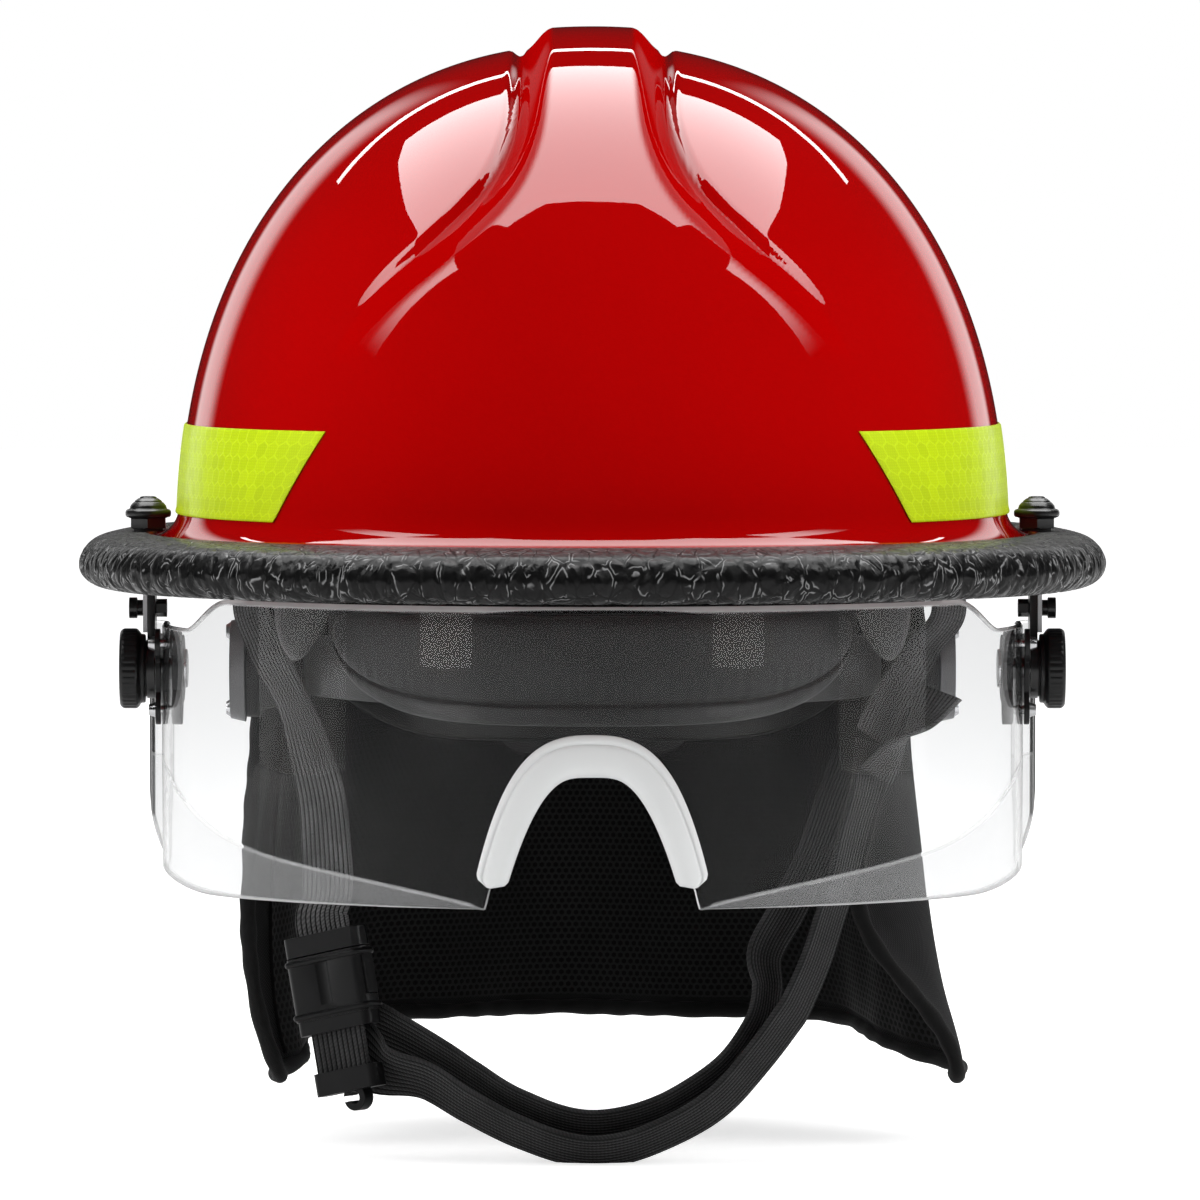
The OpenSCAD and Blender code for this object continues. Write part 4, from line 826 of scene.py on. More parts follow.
def makePatches():
    # a front and a rear strip, and their mirror images
    parts = []
    for which in ("front", "rear"):
        grid = patchGrid(*patchSet[which])
        for g in (grid, mirrored(grid)):
            mid = g[:, g.shape[1] // 4]
            parts.append(gridMesh("patchPart", g, uScale=lengthsAlong(mid)))
    patches = oneMesh("reflectivePatches", parts, sharp=40)
    place(patches, finish["patch"], nodesFor=["reflective_patches"])


makeShell()
makeTrim()
makePatches()
print("shell, trim and patches made")

# liner: impact cap, crown straps, hangers
linerSet = {"gap": 0.9, "thick": 28, "rimRear": 5, "rimFront": 62, "rimRound": 3.2, "strapWide": 19,
            "strapThick": 1.4, "strapGap": 4.3, "hangerAt": (62, 142, 218, 298), "hangerWide": 16, "hangerThick": 1.6}


def capRimZ(az):
    # the cap's rim is low at the rear and rises with a power of half of 1 plus the cosine
    return mix(linerSet["rimRear"], linerSet["rimFront"], ((1 + cosD(az)) / 2) ** 1.6)


def makeCap():
    # dome points from the top down to the rim outside, and back up inside
    outer = -shellSet["wall"] - linerSet["gap"]
    inner = outer - linerSet["thick"]
    az = np.arange(240) * 1.5

    def level(k, out):
        return mix(domeEl(capRimZ(az), out), 88, 1 - (1 - k) ** 1.15)
    rows = [domePoint(az, level(k, outer), outer) for k in np.linspace(1, 0, 22)]
    # the rim turns over in a half round from the outer face to the inner one
    for t in np.linspace(0.06, 0.94, 9):
        p = mix(domePoint(az, level(0, outer), outer), domePoint(az, level(0, inner), inner), t)
        p[:, 2] -= linerSet["rimRound"] * np.sin(math.pi * t) ** 0.6
        rows.append(p)
    rows += [domePoint(az, level(k, inner), inner) for k in np.linspace(0, 1, 22)]
    cap = gridMesh("impactCap", np.array(rows), caps="fan", sharp=50)
    place(cap, finish["foam"], nodesFor=["impact_cap"])


ribSet = {"count": 10, "depth": 0.32}


def webSection(wide, thick, ribs=0):
    # a flat strap's section: two long faces with rounded ribs, and a rounded edge on each side
    h, r = wide / 2, thick / 2
    x = np.linspace(-h + r, h - r, 1 + 6 * ribs if ribs else 15)
    dip = (1 - np.abs(np.sin(math.pi * ribs * (x + h - r) / (2 * (h - r))))) ** 1.6 if ribs else 0 * x
    a = np.linspace(90, -90, 7)[1:-1]
    right = np.stack([h - r + r * cosD(a), r * sinD(a)], 1)
    top = np.stack([x, r - ribSet["depth"] * dip], 1)
    points = np.concatenate([top, right, top[::-1] * [1, -1], (right * [-1, 1])[::-1]])
    return points, np.concatenate([dip, 0 * a, dip[::-1], 0 * a])


def strap(name, points, across, steps, wide, thick, wander=0.0, seed=1.0, ribs=0):
    # the section follows a smooth curve through the points and leans with the given width directions
    path = curveThrough(points, steps)
    lean = curveThrough(across, steps)
    length = lengthsAlong(path)
    if wander:
        n = frames(path, lean)[2]
        fade = ease(0, 12, length) * (1 - ease(length[-1] - 12, length[-1], length))
        wave = np.sin(length / 9.0 + seed) * 0.5 + np.sin(length / 4.1 + 2 * seed) * 0.3
        path = path + n * (wave * fade * wander)[:, None]
    section, dip = webSection(wide, thick, ribs)
    grid = sweep(path, lean, section)
    piece = gridMesh(name, grid, uScale=length, sharp=60)
    if ribs:
        # the dips between the ribs are marked for their painted shade
        addValue(piece, "dip", np.broadcast_to(dip, grid.shape[:2]))
    return piece


def around(az, count):
    # the level direction square to the ray, once for each point of a strap
    return np.tile([cosD(az), sinD(az), 0], (count, 1))


def makeCrownStraps():
    # two straps that follow the dome a little inside the cap, from rim to rim over the top
    s = linerSet
    out = -shellSet["wall"] - s["gap"] - s["thick"] - s["strapGap"]
    parts = []
    for az, drop in ((45, 0), (315, 3)):
        e = np.arange(-7, 6) * 11.0
        points = domePoint(np.where(e < 0, az + 180, az), 90 - np.abs(e), out - drop)
        parts.append(strap("crownPart", points, around(az, 13), 90, s["strapWide"], s["strapThick"]))
    straps = oneMesh("crownStraps", parts, sharp=45)
    place(straps, finish["webbing"], nodesFor=["crown_straps"])


def makeHangers():
    # straps from inside the cap's rim down to the outer face of the head ring
    inner = -shellSet["wall"] - linerSet["gap"] - linerSet["thick"]
    b, s = bandSet, linerSet
    half, front, rear = b["halfWidth"] + b["thick"], b["front"] + b["thick"], b["rear"] + b["thick"]
    parts = []
    for az in s["hangerAt"]:
        top = float(capRimZ(az)) + 8
        # the front pair stands clear of the temple pads
        foot = ovalR(az, half + 1.8, front + 5.6, 100, 2) if cosD(az) > 0 else ovalR(az, half + 3, 100, rear + 3, 2)
        near = domeR(az, top - 9, inner)
        points = [onRay(az, domeR(az, top, inner) - 4.6, top), onRay(az, near - 4.8, top - 9),
                  onRay(az, mix(near, foot, 0.6) - 1.6, 2), onRay(az, foot + 0.8, -10), onRay(az, foot + 0.8, -20)]
        parts.append(strap("hangerPart", points, around(az, 5), 40, s["hangerWide"], s["hangerThick"]))
    hangers = oneMesh("suspensionHangers", parts, sharp=45)
    place(hangers, finish["liner"], nodesFor=["suspension_hangers"])


# headband with its nape band, brow pad and temple pads
bandSet = {"halfWidth": 80, "front": 100, "rear": 100, "thick": 2, "height": 26, "drop": 38, "sideRun": 34,
           "napeWide": 20, "napeGap": 0.4}


def makeHeadband():
    # half an ellipse with two straight ends; its section has chamfered corners and a raised outer face
    b = bandSet
    t = np.linspace(-90, 90, 121)
    front = np.stack([b["halfWidth"] * sinD(t), -b["front"] * cosD(t), 0 * t], 1)
    y = np.linspace(b["sideRun"], 1, 12)
    left = np.stack([0 * y - b["halfWidth"], y, 0 * y], 1)
    path = np.concatenate([left, front, left[::-1] * [-1, 1, 1]])
    out = unit(np.stack([np.gradient(path[:, 1]), -np.gradient(path[:, 0]), 0 * path[:, 0]], 1))
    w, r, low, high = b["thick"], 0.7, -b["drop"], b["height"] - b["drop"]
    c = 0.25 * r
    section = np.array([
        (0, low + r), (c, low + c), (r, low), (w - r, low), (w - c, low + c), (w, low + r),
        (w, low + 4), (w + 0.5, low + 4.8), (w + 0.5, high - 4.8), (w, high - 4),
        (w, high - r), (w - c, high - c), (w - r, high), (r, high), (c, high - c), (0, high - r)])
    grid = path[:, None] + out[:, None] * section[None, :, :1]
    grid[..., 2] = section[None, :, 1]
    band = gridMesh("headband", grid, sharp=40)
    place(band, finish["liner"], nodesFor=["headband"])


def napePoint(t):
    # half an ellipse round the nape, lower in the middle, with ends that run straight into the headband
    b = bandSet
    half, rear = b["halfWidth"] - b["napeGap"] - b["thick"] / 2, b["rear"] - b["sideRun"]
    mid = -b["drop"] + b["height"] / 2
    side = np.abs(t) > 90
    c = np.clip(t, -90, 90)
    x = half * sinD(c)
    y = np.where(side, b["sideRun"] - (np.abs(t) - 90) * 0.5, b["sideRun"] + rear * cosD(c))
    z = mid - 22 * ease(0.1, 0.95, cosD(c))
    return np.stack([x, y, z], -1)


def makeNapeBand():
    # a flat strap's section carried along the nape's curve
    b = bandSet
    t = np.concatenate([np.linspace(-150, -92, 14), np.linspace(-90, 90, 120), np.linspace(92, 150, 14)])
    path = napePoint(t)
    grid = sweep(path, np.tile([0, 0, 1.0], (len(path), 1)), webSection(b["napeWide"], b["thick"])[0])
    band = gridMesh("napeBand", grid, uScale=lengthsAlong(path), sharp=45)
    place(band, finish["liner"], "nape_adjuster", ["nape_band"])


padSet = {"span": 60, "pressure": 3.0, "mass": 0.3, "tension": 12, "compression": 8, "frames": 14, "cap": 1.6}


def puffUp(thing, s):
    # cloth under pressure: the pad swells from its seams, and no point moves further than the cap
    mesh = thing.data
    start = readAll(mesh.vertices, "co", 3)
    cloth = thing.modifiers.new("cloth", "CLOTH")
    cloth.settings.use_pressure = True
    cloth.settings.uniform_pressure_force = s["pressure"]
    cloth.settings.mass = s["mass"]
    cloth.settings.tension_stiffness = s["tension"]
    cloth.settings.compression_stiffness = s["compression"]
    cloth.settings.effector_weights.gravity = 0
    group = thing.vertex_groups.new(name="held")
    group.add([int(k) for k in np.nonzero(s["held"])[0]], 1.0, "REPLACE")
    cloth.settings.vertex_group_mass = "held"
    scene = bpy.context.scene
    cloth.point_cache.frame_start, cloth.point_cache.frame_end = 1, s["frames"]
    for k in range(1, s["frames"] + 1):
        scene.frame_set(k)
    moved = thing.evaluated_get(bpy.context.evaluated_depsgraph_get())
    shift = readAll(moved.data.vertices, "co", 3) - start
    thing.modifiers.remove(cloth)
    thing.vertex_groups.clear()
    scene.frame_set(1)
    far = np.linalg.norm(shift, axis=1, keepdims=True)
    shift *= np.minimum(1, s["cap"] * mm / np.maximum(far, 1e-9))
    mesh.vertices.foreach_set("co", (start + shift).astype(np.float32).ravel())
    mesh.update()
    print(thing.name, "swelled by up to", round(float(np.linalg.norm(shift, axis=1).max()) / mm, 2), "mm")


def makeBrowPad():
    # a cushion on the front of the band, deepest and lowest at its middle; its section is a curve through
    # points given as reach and height, with a stitched channel along the lower edge
    b, s = bandSet, padSet
    t = np.linspace(-s["span"], s["span"], 150)
    full = 1 - np.abs(t / s["span"]) ** 4
    puff = 3.0 + full
    low = -b["drop"] + mix(12, -5, full)
    high = b["height"] - b["drop"] - 0.5 + 0 * t
    gap = b["thick"] + 0.3
    crimp = 0.16 * np.sin(t * 2.1) * np.abs(np.sin(t * 0.37))
    shape = [(0.0, 1.0), (0.5, 0.985), (0.84, 0.93), (1.0, 0.8), (1.06, 0.55), (1.02, 0.34), (0.86, 0.235),
             (0.68, 0.2), (0.9, 0.165), (0.93, 0.1), (0.72, 0.03), (0.4, 0.0), (0.02, 0.03)]

    def along(reach, share):
        return np.stack([gap + reach, mix(low, high, share)], -1)
    keys = np.stack([along(puff * k + crimp * (0.05 < h < 0.5), h) for k, h in shape])
    rows = curveThrough(keys.reshape(len(keys), -1), 46).reshape(46, len(t), 2)
    rows[..., 0] = np.maximum(rows[..., 0], gap)
    back = np.stack([along(0 * t, h) for h in (0.25, 0.5, 0.75)])
    rows = np.concatenate([rows, back])
    # both ends are drawn together to a rounded edge
    close = np.sqrt(np.clip(1 - (np.abs(t) / s["span"]) ** 24, 0.03, 1))
    mid = along(puff * 0.3, 0.5)
    r = mix(mid[:, 0], rows[..., 0], mix(1, close, 0.65))
    z = mix(mid[:, 1], rows[..., 1], close)
    grid = np.stack([(b["halfWidth"] + r) * sinD(t), -(b["front"] + r) * cosD(t), z], -1)
    grid = np.swapaxes(grid, 0, 1)
    pad = gridMesh("browPad", grid, caps="fan", sharp=70)
    # the back, the stitched channel and both ends are held while the rest swells
    held = np.zeros(grid.shape[:2], bool)
    held[:, [0, 1, -1, -2, -3, -4, -5]] = held[:, 24:29] = True
    held[:3] = held[-3:] = True
    puffUp(pad, {**s, "held": np.concatenate([held.ravel(), [True, True]])})
    place(pad, finish["pad"], nodesFor=["brow_pad"])


def makeTemplePads():
    # a leaf-shaped cushion on each side: the half thickness is the root of the distance to its seam
    u, v = np.meshgrid(np.linspace(0, 1, 46), np.linspace(0, 1, 34), indexing="ij")
    az = mix(47, 68, u)
    bulge = np.sin(math.pi * u)
    z = mix(mix(-8, -27, bulge**0.6), capRimZ(az) - 0.5, v)
    edge = np.minimum(1, np.minimum(u, 1 - u) / 0.16) * np.minimum(1, v / 0.1)
    fat = (3 + 3 * bulge) * np.sqrt(np.clip(edge, 0.0, 1)) * (1 - 0.18 * np.exp(-((v - 0.22) / 0.025) ** 2))
    base = ovalR(az, 90, 98, 110, 2.2) + 3 + 1.5 * bulge
    inner, outer = onRay(az, base - fat / 2, z), onRay(az, base + fat / 2 + 0.15, z)
    grid = np.concatenate([inner, outer[:, ::-1]], axis=1)
    parts = [gridMesh("lobe", g, sharp=70) for g in (grid, mirrored(grid))]
    pads = oneMesh("templePads", parts, sharp=70)
    place(pads, finish["pad"], nodesFor=["temple_pads"])


for make in (makeCap, makeCrownStraps, makeHangers, makeHeadband, makeNapeBand, makeBrowPad, makeTemplePads):
    make()
print("liner, band and pads made")

# neck curtain: outer cloth, mesh lining and a bound edge, hung from inside the cap's rim
curtainSet = {"azTop": 112, "azHem": 97, "side": 148, "rear": 136, "thick": 1.6, "fold": 5, "liningGap": 0.3,
              "bindR": 2.3, "bindOut": 1.7, "bindTop": 0.14, "bindSteps": 900, "bindRounds": 40}


def curtainPoint(u, v, out):
    # the ray's angle, reach and height are mixed from the top line to the hem; sine folds deepen
    # towards the hem and the two front edges curl in
    s = curtainSet
    edgeAz = mix(s["azTop"], s["azHem"], v)
    az = mix(edgeAz, 360 - edgeAz, u)
    topAz = mix(s["azTop"], 360 - s["azTop"], u)
    side = np.minimum(u, 1 - u)
    down = np.maximum(0, v)
    right = 25 * ease(0.2, 0.7, v) * (1 - ease(0.7, 1, v)) * (1 - ease(0, 0.12, side))
    left = 15 * down**6 * (1 - ease(0, 0.32, side))
    curl = np.where(u < 0.5, right, left)
    lean = mix(ovalR(az, 94, 120, 132, 2.2), ovalR(az, 106, 120, 122, 2.3), v)
    fold = s["fold"] * down**1.3 * np.sin(np.radians(360 * 4.5 * u - 45)) * ease(0, 0.1, side)
    ripple = 0.55 * down**0.8 * (np.sin(u * 61 + 5 * v) * np.sin(v * 9 + 17 * u) + 0.5 * np.sin(u * 127 - 8 * v))
    low = -mix(s["side"], s["rear"], ease(0.04, 0.34, side))
    reach = lean - curl + fold + ripple * ease(0, 0.05, side) + out
    return onRay(az, reach, mix(capRimZ(topAz) - 0.4, low, v))


def curtainSheet(name, uSpan, vSpan, outA, outB, cols, rows):
    # both faces of a sheet between two shares of the curtain, with its laid-out size and area in metres
    u = np.linspace(*uSpan, cols)
    v = np.linspace(*vSpan, rows)
    uu, vv = np.meshgrid(u, v, indexing="ij")
    a, b = curtainPoint(uu, vv, outA), curtainPoint(uu, vv, outB)
    grid = np.concatenate([a, b[:, ::-1]], axis=1)
    across = lengthsAlong(curtainPoint(u, 0 * u + 0.7, outB))
    down = lengthsAlong(curtainPoint(0 * v + 0.5, v, outB))
    vLine = np.concatenate([down, down[-1] + 2 + (down[-1] - down[::-1]), [2 * down[-1] + 4]])
    hem = lengthsAlong(curtainPoint(u, 0 * u + vSpan[1], outB))[-1]
    flat = (float(hem) * mm, float(down[-1]) * mm)
    cells = np.cross(np.diff(a, axis=0)[:, :-1], np.diff(a, axis=1)[:-1])
    area = float(np.linalg.norm(cells, axis=-1).sum()) * mm * mm
    return gridMesh(name, grid, uScale=across, vScale=vLine, sharp=50), area, flat


def tubeAlong(name, path, across, radius, sides):
    # a round section carried along a path, with its own radius at each point
    t = unit(np.gradient(path, axis=0))
    a = unit(np.cross(t, across))
    b = np.cross(t, a)
    k = np.arange(sides) * 2 * math.pi / sides
    ring = a[:, None] * np.cos(k)[:, None] + b[:, None] * np.sin(k)[:, None]
    grid = path[:, None] + radius[:, None, None] * ring
    return gridMesh(name, grid, caps="fan", uScale=lengthsAlong(path), sharp=70)


def makeCurtain():
    # cloth, lining and a gathered binding whose path is smoothed from the cloth's edges
    s = curtainSet
    cloth, area, flat = curtainSheet("neckCurtain", (0, 1), (0, 1), 0, -s["thick"], 300, 90)
    gap = s["thick"] + s["liningGap"]
    net, netArea, netFlat = curtainSheet("curtainLining", (4 / 44, 40 / 44), (1 / 8, 0.985), -gap, -gap - 1,
                                         280, 84)
    # the binding runs down one edge, along the hem and up the other, a set distance outside the cloth
    v, u, near = np.linspace(s["bindTop"], 1, 90), np.linspace(0, 1, 420), 0.01
    mid = -s["thick"] / 2
    runs = [(0 * v, v, near, 0), (u, 0 * u + 1, 0, -near), (0 * v + 1, v[::-1], -near, 0)]
    path = []
    for at, down, inU, inV in runs:
        edge = curtainPoint(at, down, mid)
        path.append(edge + unit(edge - curtainPoint(at + inU, down + inV, mid)) * s["bindOut"])
    path = np.concatenate(path)
    even = lengthsAlong(path)
    at = np.linspace(0, even[-1], s["bindSteps"])
    path = np.stack([np.interp(at, even, path[:, k]) for k in range(3)], 1)
    # each point moves to the mean of itself and its neighbours, over and over, which rounds the corners
    for _ in range(s["bindRounds"]):
        path[1:-1] = (path[:-2] + path[1:-1] + path[2:]) / 3
    gather = 1 + 0.07 * np.sin(at / 1.9 + np.sin(at / 7.3)) + 0.06 * np.sin(at / 5.1)
    binding = tubeAlong("curtainBinding", path, unit(path * [1, 1, 0]), s["bindR"] * gather, 16)
    place(cloth, finish["cloth"], nodesFor=["neck_curtain"])
    place(net, finish["mesh"], nodesFor=["curtain_lining"])
    place(binding, finish["binding"], nodesFor=["curtain_binding"])
    print("curtain", np.round([*flat, area], 4), "lining", np.round([*netFlat, netArea], 4))


makeCurtain()
print("curtain made")

# visor: one clear sheet bent round the face, its lower third turned out at a moulded crease
lensSet = {"halfWidth": 121.5, "reach": 116, "thick": 2, "top": 9, "bottom": 92.3, "pivotY": -12, "pivotZ": -31,
           "wingBack": 22, "wingFlare": 4.5, "flareStart": 10.5, "wingTop": -18, "noseHalf": 29.5, "noseTop": -50,
           "tilt": 0.1, "cornerRise": 20, "cornerLift": 5, "cornerReach": 53, "footShare": 0.95, "footRound": 3}


def lensUpper(f):
    # the top edge, eased up from the wings' height to the front's
    return mix(lensSet["wingTop"], -lensSet["top"], ease(40, 64, f))


def archZ(x):
    # the nose arch falls with the cube of the distance from the middle
    s = lensSet
    return s["noseTop"] - (s["bottom"] + s["noseTop"]) * (np.abs(x) / s["noseHalf"]) ** 3


def lensLower(f, x):
    # the bottom edge: an ellipse's quarter at the wings, a lift that fades to the front, and the nose arch
    s = lensSet
    wing = -s["bottom"] + s["cornerRise"] * (1 - np.sqrt(np.clip(1 - (f / s["wingBack"]) ** 2, 0, 1)))
    lift = s["cornerLift"] * np.clip(1 - f / s["cornerReach"], 0, 1) ** 1.6
    front = np.where(f < 0, wing, -s["bottom"]) + lift
    return np.where(np.abs(x) < s["noseHalf"], archZ(x), front)


def creaseZ(x):
    # the crease starts at the arch's foot and rises outwards, fast at the end
    s = lensSet
    t = np.maximum(0, (np.minimum(np.abs(x), s["halfWidth"]) - s["noseHalf"]) / (s["halfWidth"] - s["noseHalf"]))
    return -s["bottom"] + 17 * t**0.85 + 19 * t**8


def lensPlan():
    # reach and half width from the left wing's end round to the right one: an ellipse between two wings
    s = lensSet
    f = np.linspace(-s["wingBack"], -1, 26)
    flare = np.maximum(0, -f - s["flareStart"]) / (s["wingBack"] - s["flareStart"])
    wing = np.stack([f, -(s["halfWidth"] + s["wingFlare"] * flare ** 1.2)], 1)
    a = np.concatenate([np.linspace(90, 16, 110), np.linspace(15.4, 0, 60)])
    front = np.stack([s["reach"] * cosD(a), -s["halfWidth"] * sinD(a)], 1)
    half = np.concatenate([wing, front])
    return np.concatenate([half, half[-2::-1] * [1, -1]])


def makeLens():
    # columns along the plan, each mixed in height from the bottom edge over the crease to the top edge
    s = lensSet
    plan = lensPlan()
    f, x = plan[:, 0], plan[:, 1]
    t = unit(np.stack([np.gradient(x), -np.gradient(f), 0 * f], 1))
    n = np.stack([t[:, 1], -t[:, 0], t[:, 2]], 1)
    low, high = lensLower(f, x), lensUpper(f)
    bend = np.minimum(np.maximum(creaseZ(x), low + 0.3), high - 2)
    # heights: edge round, lower facet, a narrow turn at the crease, upper sheet, edge round
    levels = [mix(low, bend, k) for k in (0, 0.02, *np.linspace(0.08, 0.94, 9))]
    levels += [bend + k for k in (-0.55, -0.25, 0.25, 0.55)]
    levels += [mix(bend, high, k) for k in (*np.linspace(0.05, 0.95, 18), 0.975, 0.985, 1)]
    zs = np.array(levels).T
    out = -s["tilt"] * ease(-5, 45, f)[:, None] * np.maximum(0, bend[:, None] - zs)
    rim = np.ones(zs.shape[1])
    rim[[0, -1]] = 0.55
    base = np.stack([x, s["pivotY"] - f, 0 * x], 1)

    def face(side):
        p = base[:, None] + n[:, None] * (side * s["thick"] / 2 * rim[None, :, None] + out[..., None])
        p[..., 2] = zs
        return p
    grid = np.concatenate([face(1), face(-1)[:, ::-1]], axis=1)
    lens = gridMesh("visorLens", grid, uScale=lengthsAlong(base), sharp=22)
    # points below the crease are marked for the painted reflection there
    below = zs < bend[:, None] - 0.1
    addValue(lens, "facet", np.concatenate([below, below[:, ::-1]], axis=1))
    # the polished edge all round and the moulded crease get thin painted lines: a pale painted highlight, and painted
    # shade at the wing ends
    edge = np.zeros(zs.shape)
    edge[:, [0, 1]] = 1
    edge[:, [-2, -1]] = ease(20, 45, f)[:, None]
    edge[:2] = edge[-2:] = 2
    turn = np.abs(zs - bend[:, None]) < 0.3
    edge = np.maximum(edge, 0.35 * (turn & (bend > low + 1)[:, None]))
    addValue(lens, "rim", np.concatenate([edge, edge[:, ::-1]], axis=1))
    place(lens, finish["lens"], "visor", ["visor_lens"])


def makeNosePiece():
    # a rubber moulding with a slot for the lens's arched edge
    s = lensSet
    half = s["noseHalf"] * s["footShare"]
    x = np.concatenate([-half * np.linspace(1, 0, 60) ** 0.7, (half * np.linspace(0, 1, 60) ** 0.7)[1:]])
    f = s["reach"] * np.sqrt(1 - (x / s["halfWidth"]) ** 2)
    path = np.stack([x, s["pivotY"] - f, archZ(x)], 1)
    tan = unit(np.gradient(path, axis=0))
    plan = unit(np.stack([np.gradient(x), np.gradient(-f), 0 * x], 1))
    face = np.stack([plan[:, 1], -plan[:, 0], 0 * x], 1)
    side = unit(face - tan * np.sum(face * tan, axis=1, keepdims=True))
    n = np.cross(tan, side)
    n = n * np.where(n[:, 2:] < 0, 1, -1)
    keys = [(-4.6, 1.2), (-4.7, 1.7), (-4.1, 2.2), (-3.3, 2.4), (-2.7, 2.0), (-2.1, 2.55), (0, 2.75), (2.4, 2.5),
            (4, 1.5), (4.7, 0.1), (4.5, -1.7), (3.2, -3.2), (0.4, -3.5), (-2.2, -3.1), (-4.2, -2.3), (-4.6, -1.7),
            (-4.5, -1.2)]
    section = np.concatenate([curveThrough(keys, 44), [(0.3, -1.2), (0.3, 1.2)]])
    along = lengthsAlong(path)
    end = np.clip(np.minimum(along, along[-1] - along) / s["footRound"], 0.02, 1)
    taper = mix(1.25, 0.88, (np.abs(x) / s["noseHalf"]) ** 2) * np.sqrt(1 - (1 - end) ** 2)
    reach, depth = section[None, :, :1] * taper[:, None, None], section[None, :, 1:]
    grid = path[:, None] + n[:, None] * reach + side[:, None] * depth
    piece = gridMesh("nosePiece", grid, caps="fan", sharp=50)
    place(piece, finish["rubber"], "visor", ["nose_piece"])


# knobs, cap nuts: turned profiles
knobSet = {"x": 127.2, "radius": 11.4, "neck": 1.6, "wide": 5.6, "notches": 36, "notchDepth": 0.3, "nutX": 126.4,
           "nutZ": 8.85, "nutFlat": 0.93}


def makeKnobs():
    # a turned profile of neck, notched rim and dished face
    s = knobSet
    r, neck, top = s["radius"], s["neck"], s["neck"] + s["wide"]
    profile = rounded([
        (0, 0), (r - 1.6, 0), (r - 1.6, neck - 0.4), (r - 0.9, neck), (r, neck + 0.8), (r, top - 1),
        (r - 0.8, top), (r - 2.1, top), (r - 2.9, top - 1.1), (r - 6.2, top - 1.4), (r - 7, top - 2.2),
        (0, top - 2.4)], 0.5, 5)

    def bumps(radius, angle, pr):
        # shallow notches in the outer rim between its two edges
        band = ((pr[:, 1] > neck + 1.0) & (pr[:, 1] < top - 0.9) & (pr[:, 0] > r - 0.9))[:, None]
        wave = np.clip(np.cos(angle * s["notches"]), 0.3, 1) - 0.3
        return radius - band * wave * s["notchDepth"]
    dense = [profile[0]]
    for a, b in zip(profile[:-1], profile[1:]):
        steps = max(1, int(np.linalg.norm(b - a) / 0.7))
        dense += [a + (b - a) * k / steps for k in range(1, steps + 1)]
    grid = lathe(dense, (s["x"], lensSet["pivotY"], lensSet["pivotZ"]), (1, 0, 0), 144, bumps)
    for name, g, body in (("rightKnob", grid, "right_knob"), ("leftKnob", mirrored(grid), "left_knob")):
        knob = gridMesh(name, g, caps="fan", sharp=32)
        place(knob, finish["plastic"], body, [body])


def makeNuts():
    # a turned profile of hexagon, flange and stepped cap
    s = knobSet
    profile = rounded([
        (0, 0), (5.2, 0), (5.2, 3), (6, 3.2), (6.5, 3.7), (6.5, 4.9), (6.1, 5.4), (5.3, 5.6), (5.1, 6.5),
        (4.3, 7.4), (4, 7.5), (3.8, 7.9), (2.8, 8.6), (2.5, 8.6), (2.3, 9), (1.6, 9.2), (0, 9.25)], 0.3, 4)

    def bumps(radius, angle, pr):
        # six flats below the flange
        low = ((pr[:, 1] > 0.2) & (pr[:, 1] < 3.2) & (pr[:, 0] > 3.9))[:, None]
        flat = s["nutFlat"] / np.cos((angle + math.pi / 6) % (math.pi / 3) - math.pi / 6)
        return np.where(low, radius * flat, radius)
    parts = []
    for side in (1, -1):
        grid = lathe(profile, (side * s["nutX"], lensSet["pivotY"], s["nutZ"]), (0, 0, 1), 96, bumps)
        parts.append(gridMesh("nutPart", grid, caps="fan", sharp=30))
    nuts = oneMesh("capNuts", parts, sharp=30)
    place(nuts, finish["metal"], nodesFor=["cap_nuts"])


for make in (makeLens, makeNosePiece, makeKnobs, makeNuts):
    make()
print("visor, knobs and nuts made")

# chin strap: ribbed webbing in several legs, joined by a side-release buckle
buckleSet = {"at": (-73.5, -32, -119), "turn": -36.87, "lean": -12, "wide": 27, "deep": 8.4, "low": -9.8,
             "mouth": 8.2, "loopY": -1.5, "loopEnd": -27, "web": 19, "webThick": 1.6, "lip": 0.7, "lipCorner": 2,
             "lipInset": 0.2, "lipFrom": 1.4}


def buckleAxes():
    # the buckle's place and its three directions: level turn first, then a lean in its own plane
    s = buckleSet
    turn, lean = s["turn"], s["lean"]
    across = np.array([cosD(lean) * cosD(turn), cosD(lean) * sinD(turn), -sinD(lean)])
    up = np.array([sinD(lean) * cosD(turn), sinD(lean) * sinD(turn), cosD(lean)])
    face = np.array([-sinD(turn), cosD(turn), 0])
    return np.array(s["at"], float), across, up, face


buckleAt, buckleAcross, buckleUp, buckleFace = buckleAxes()

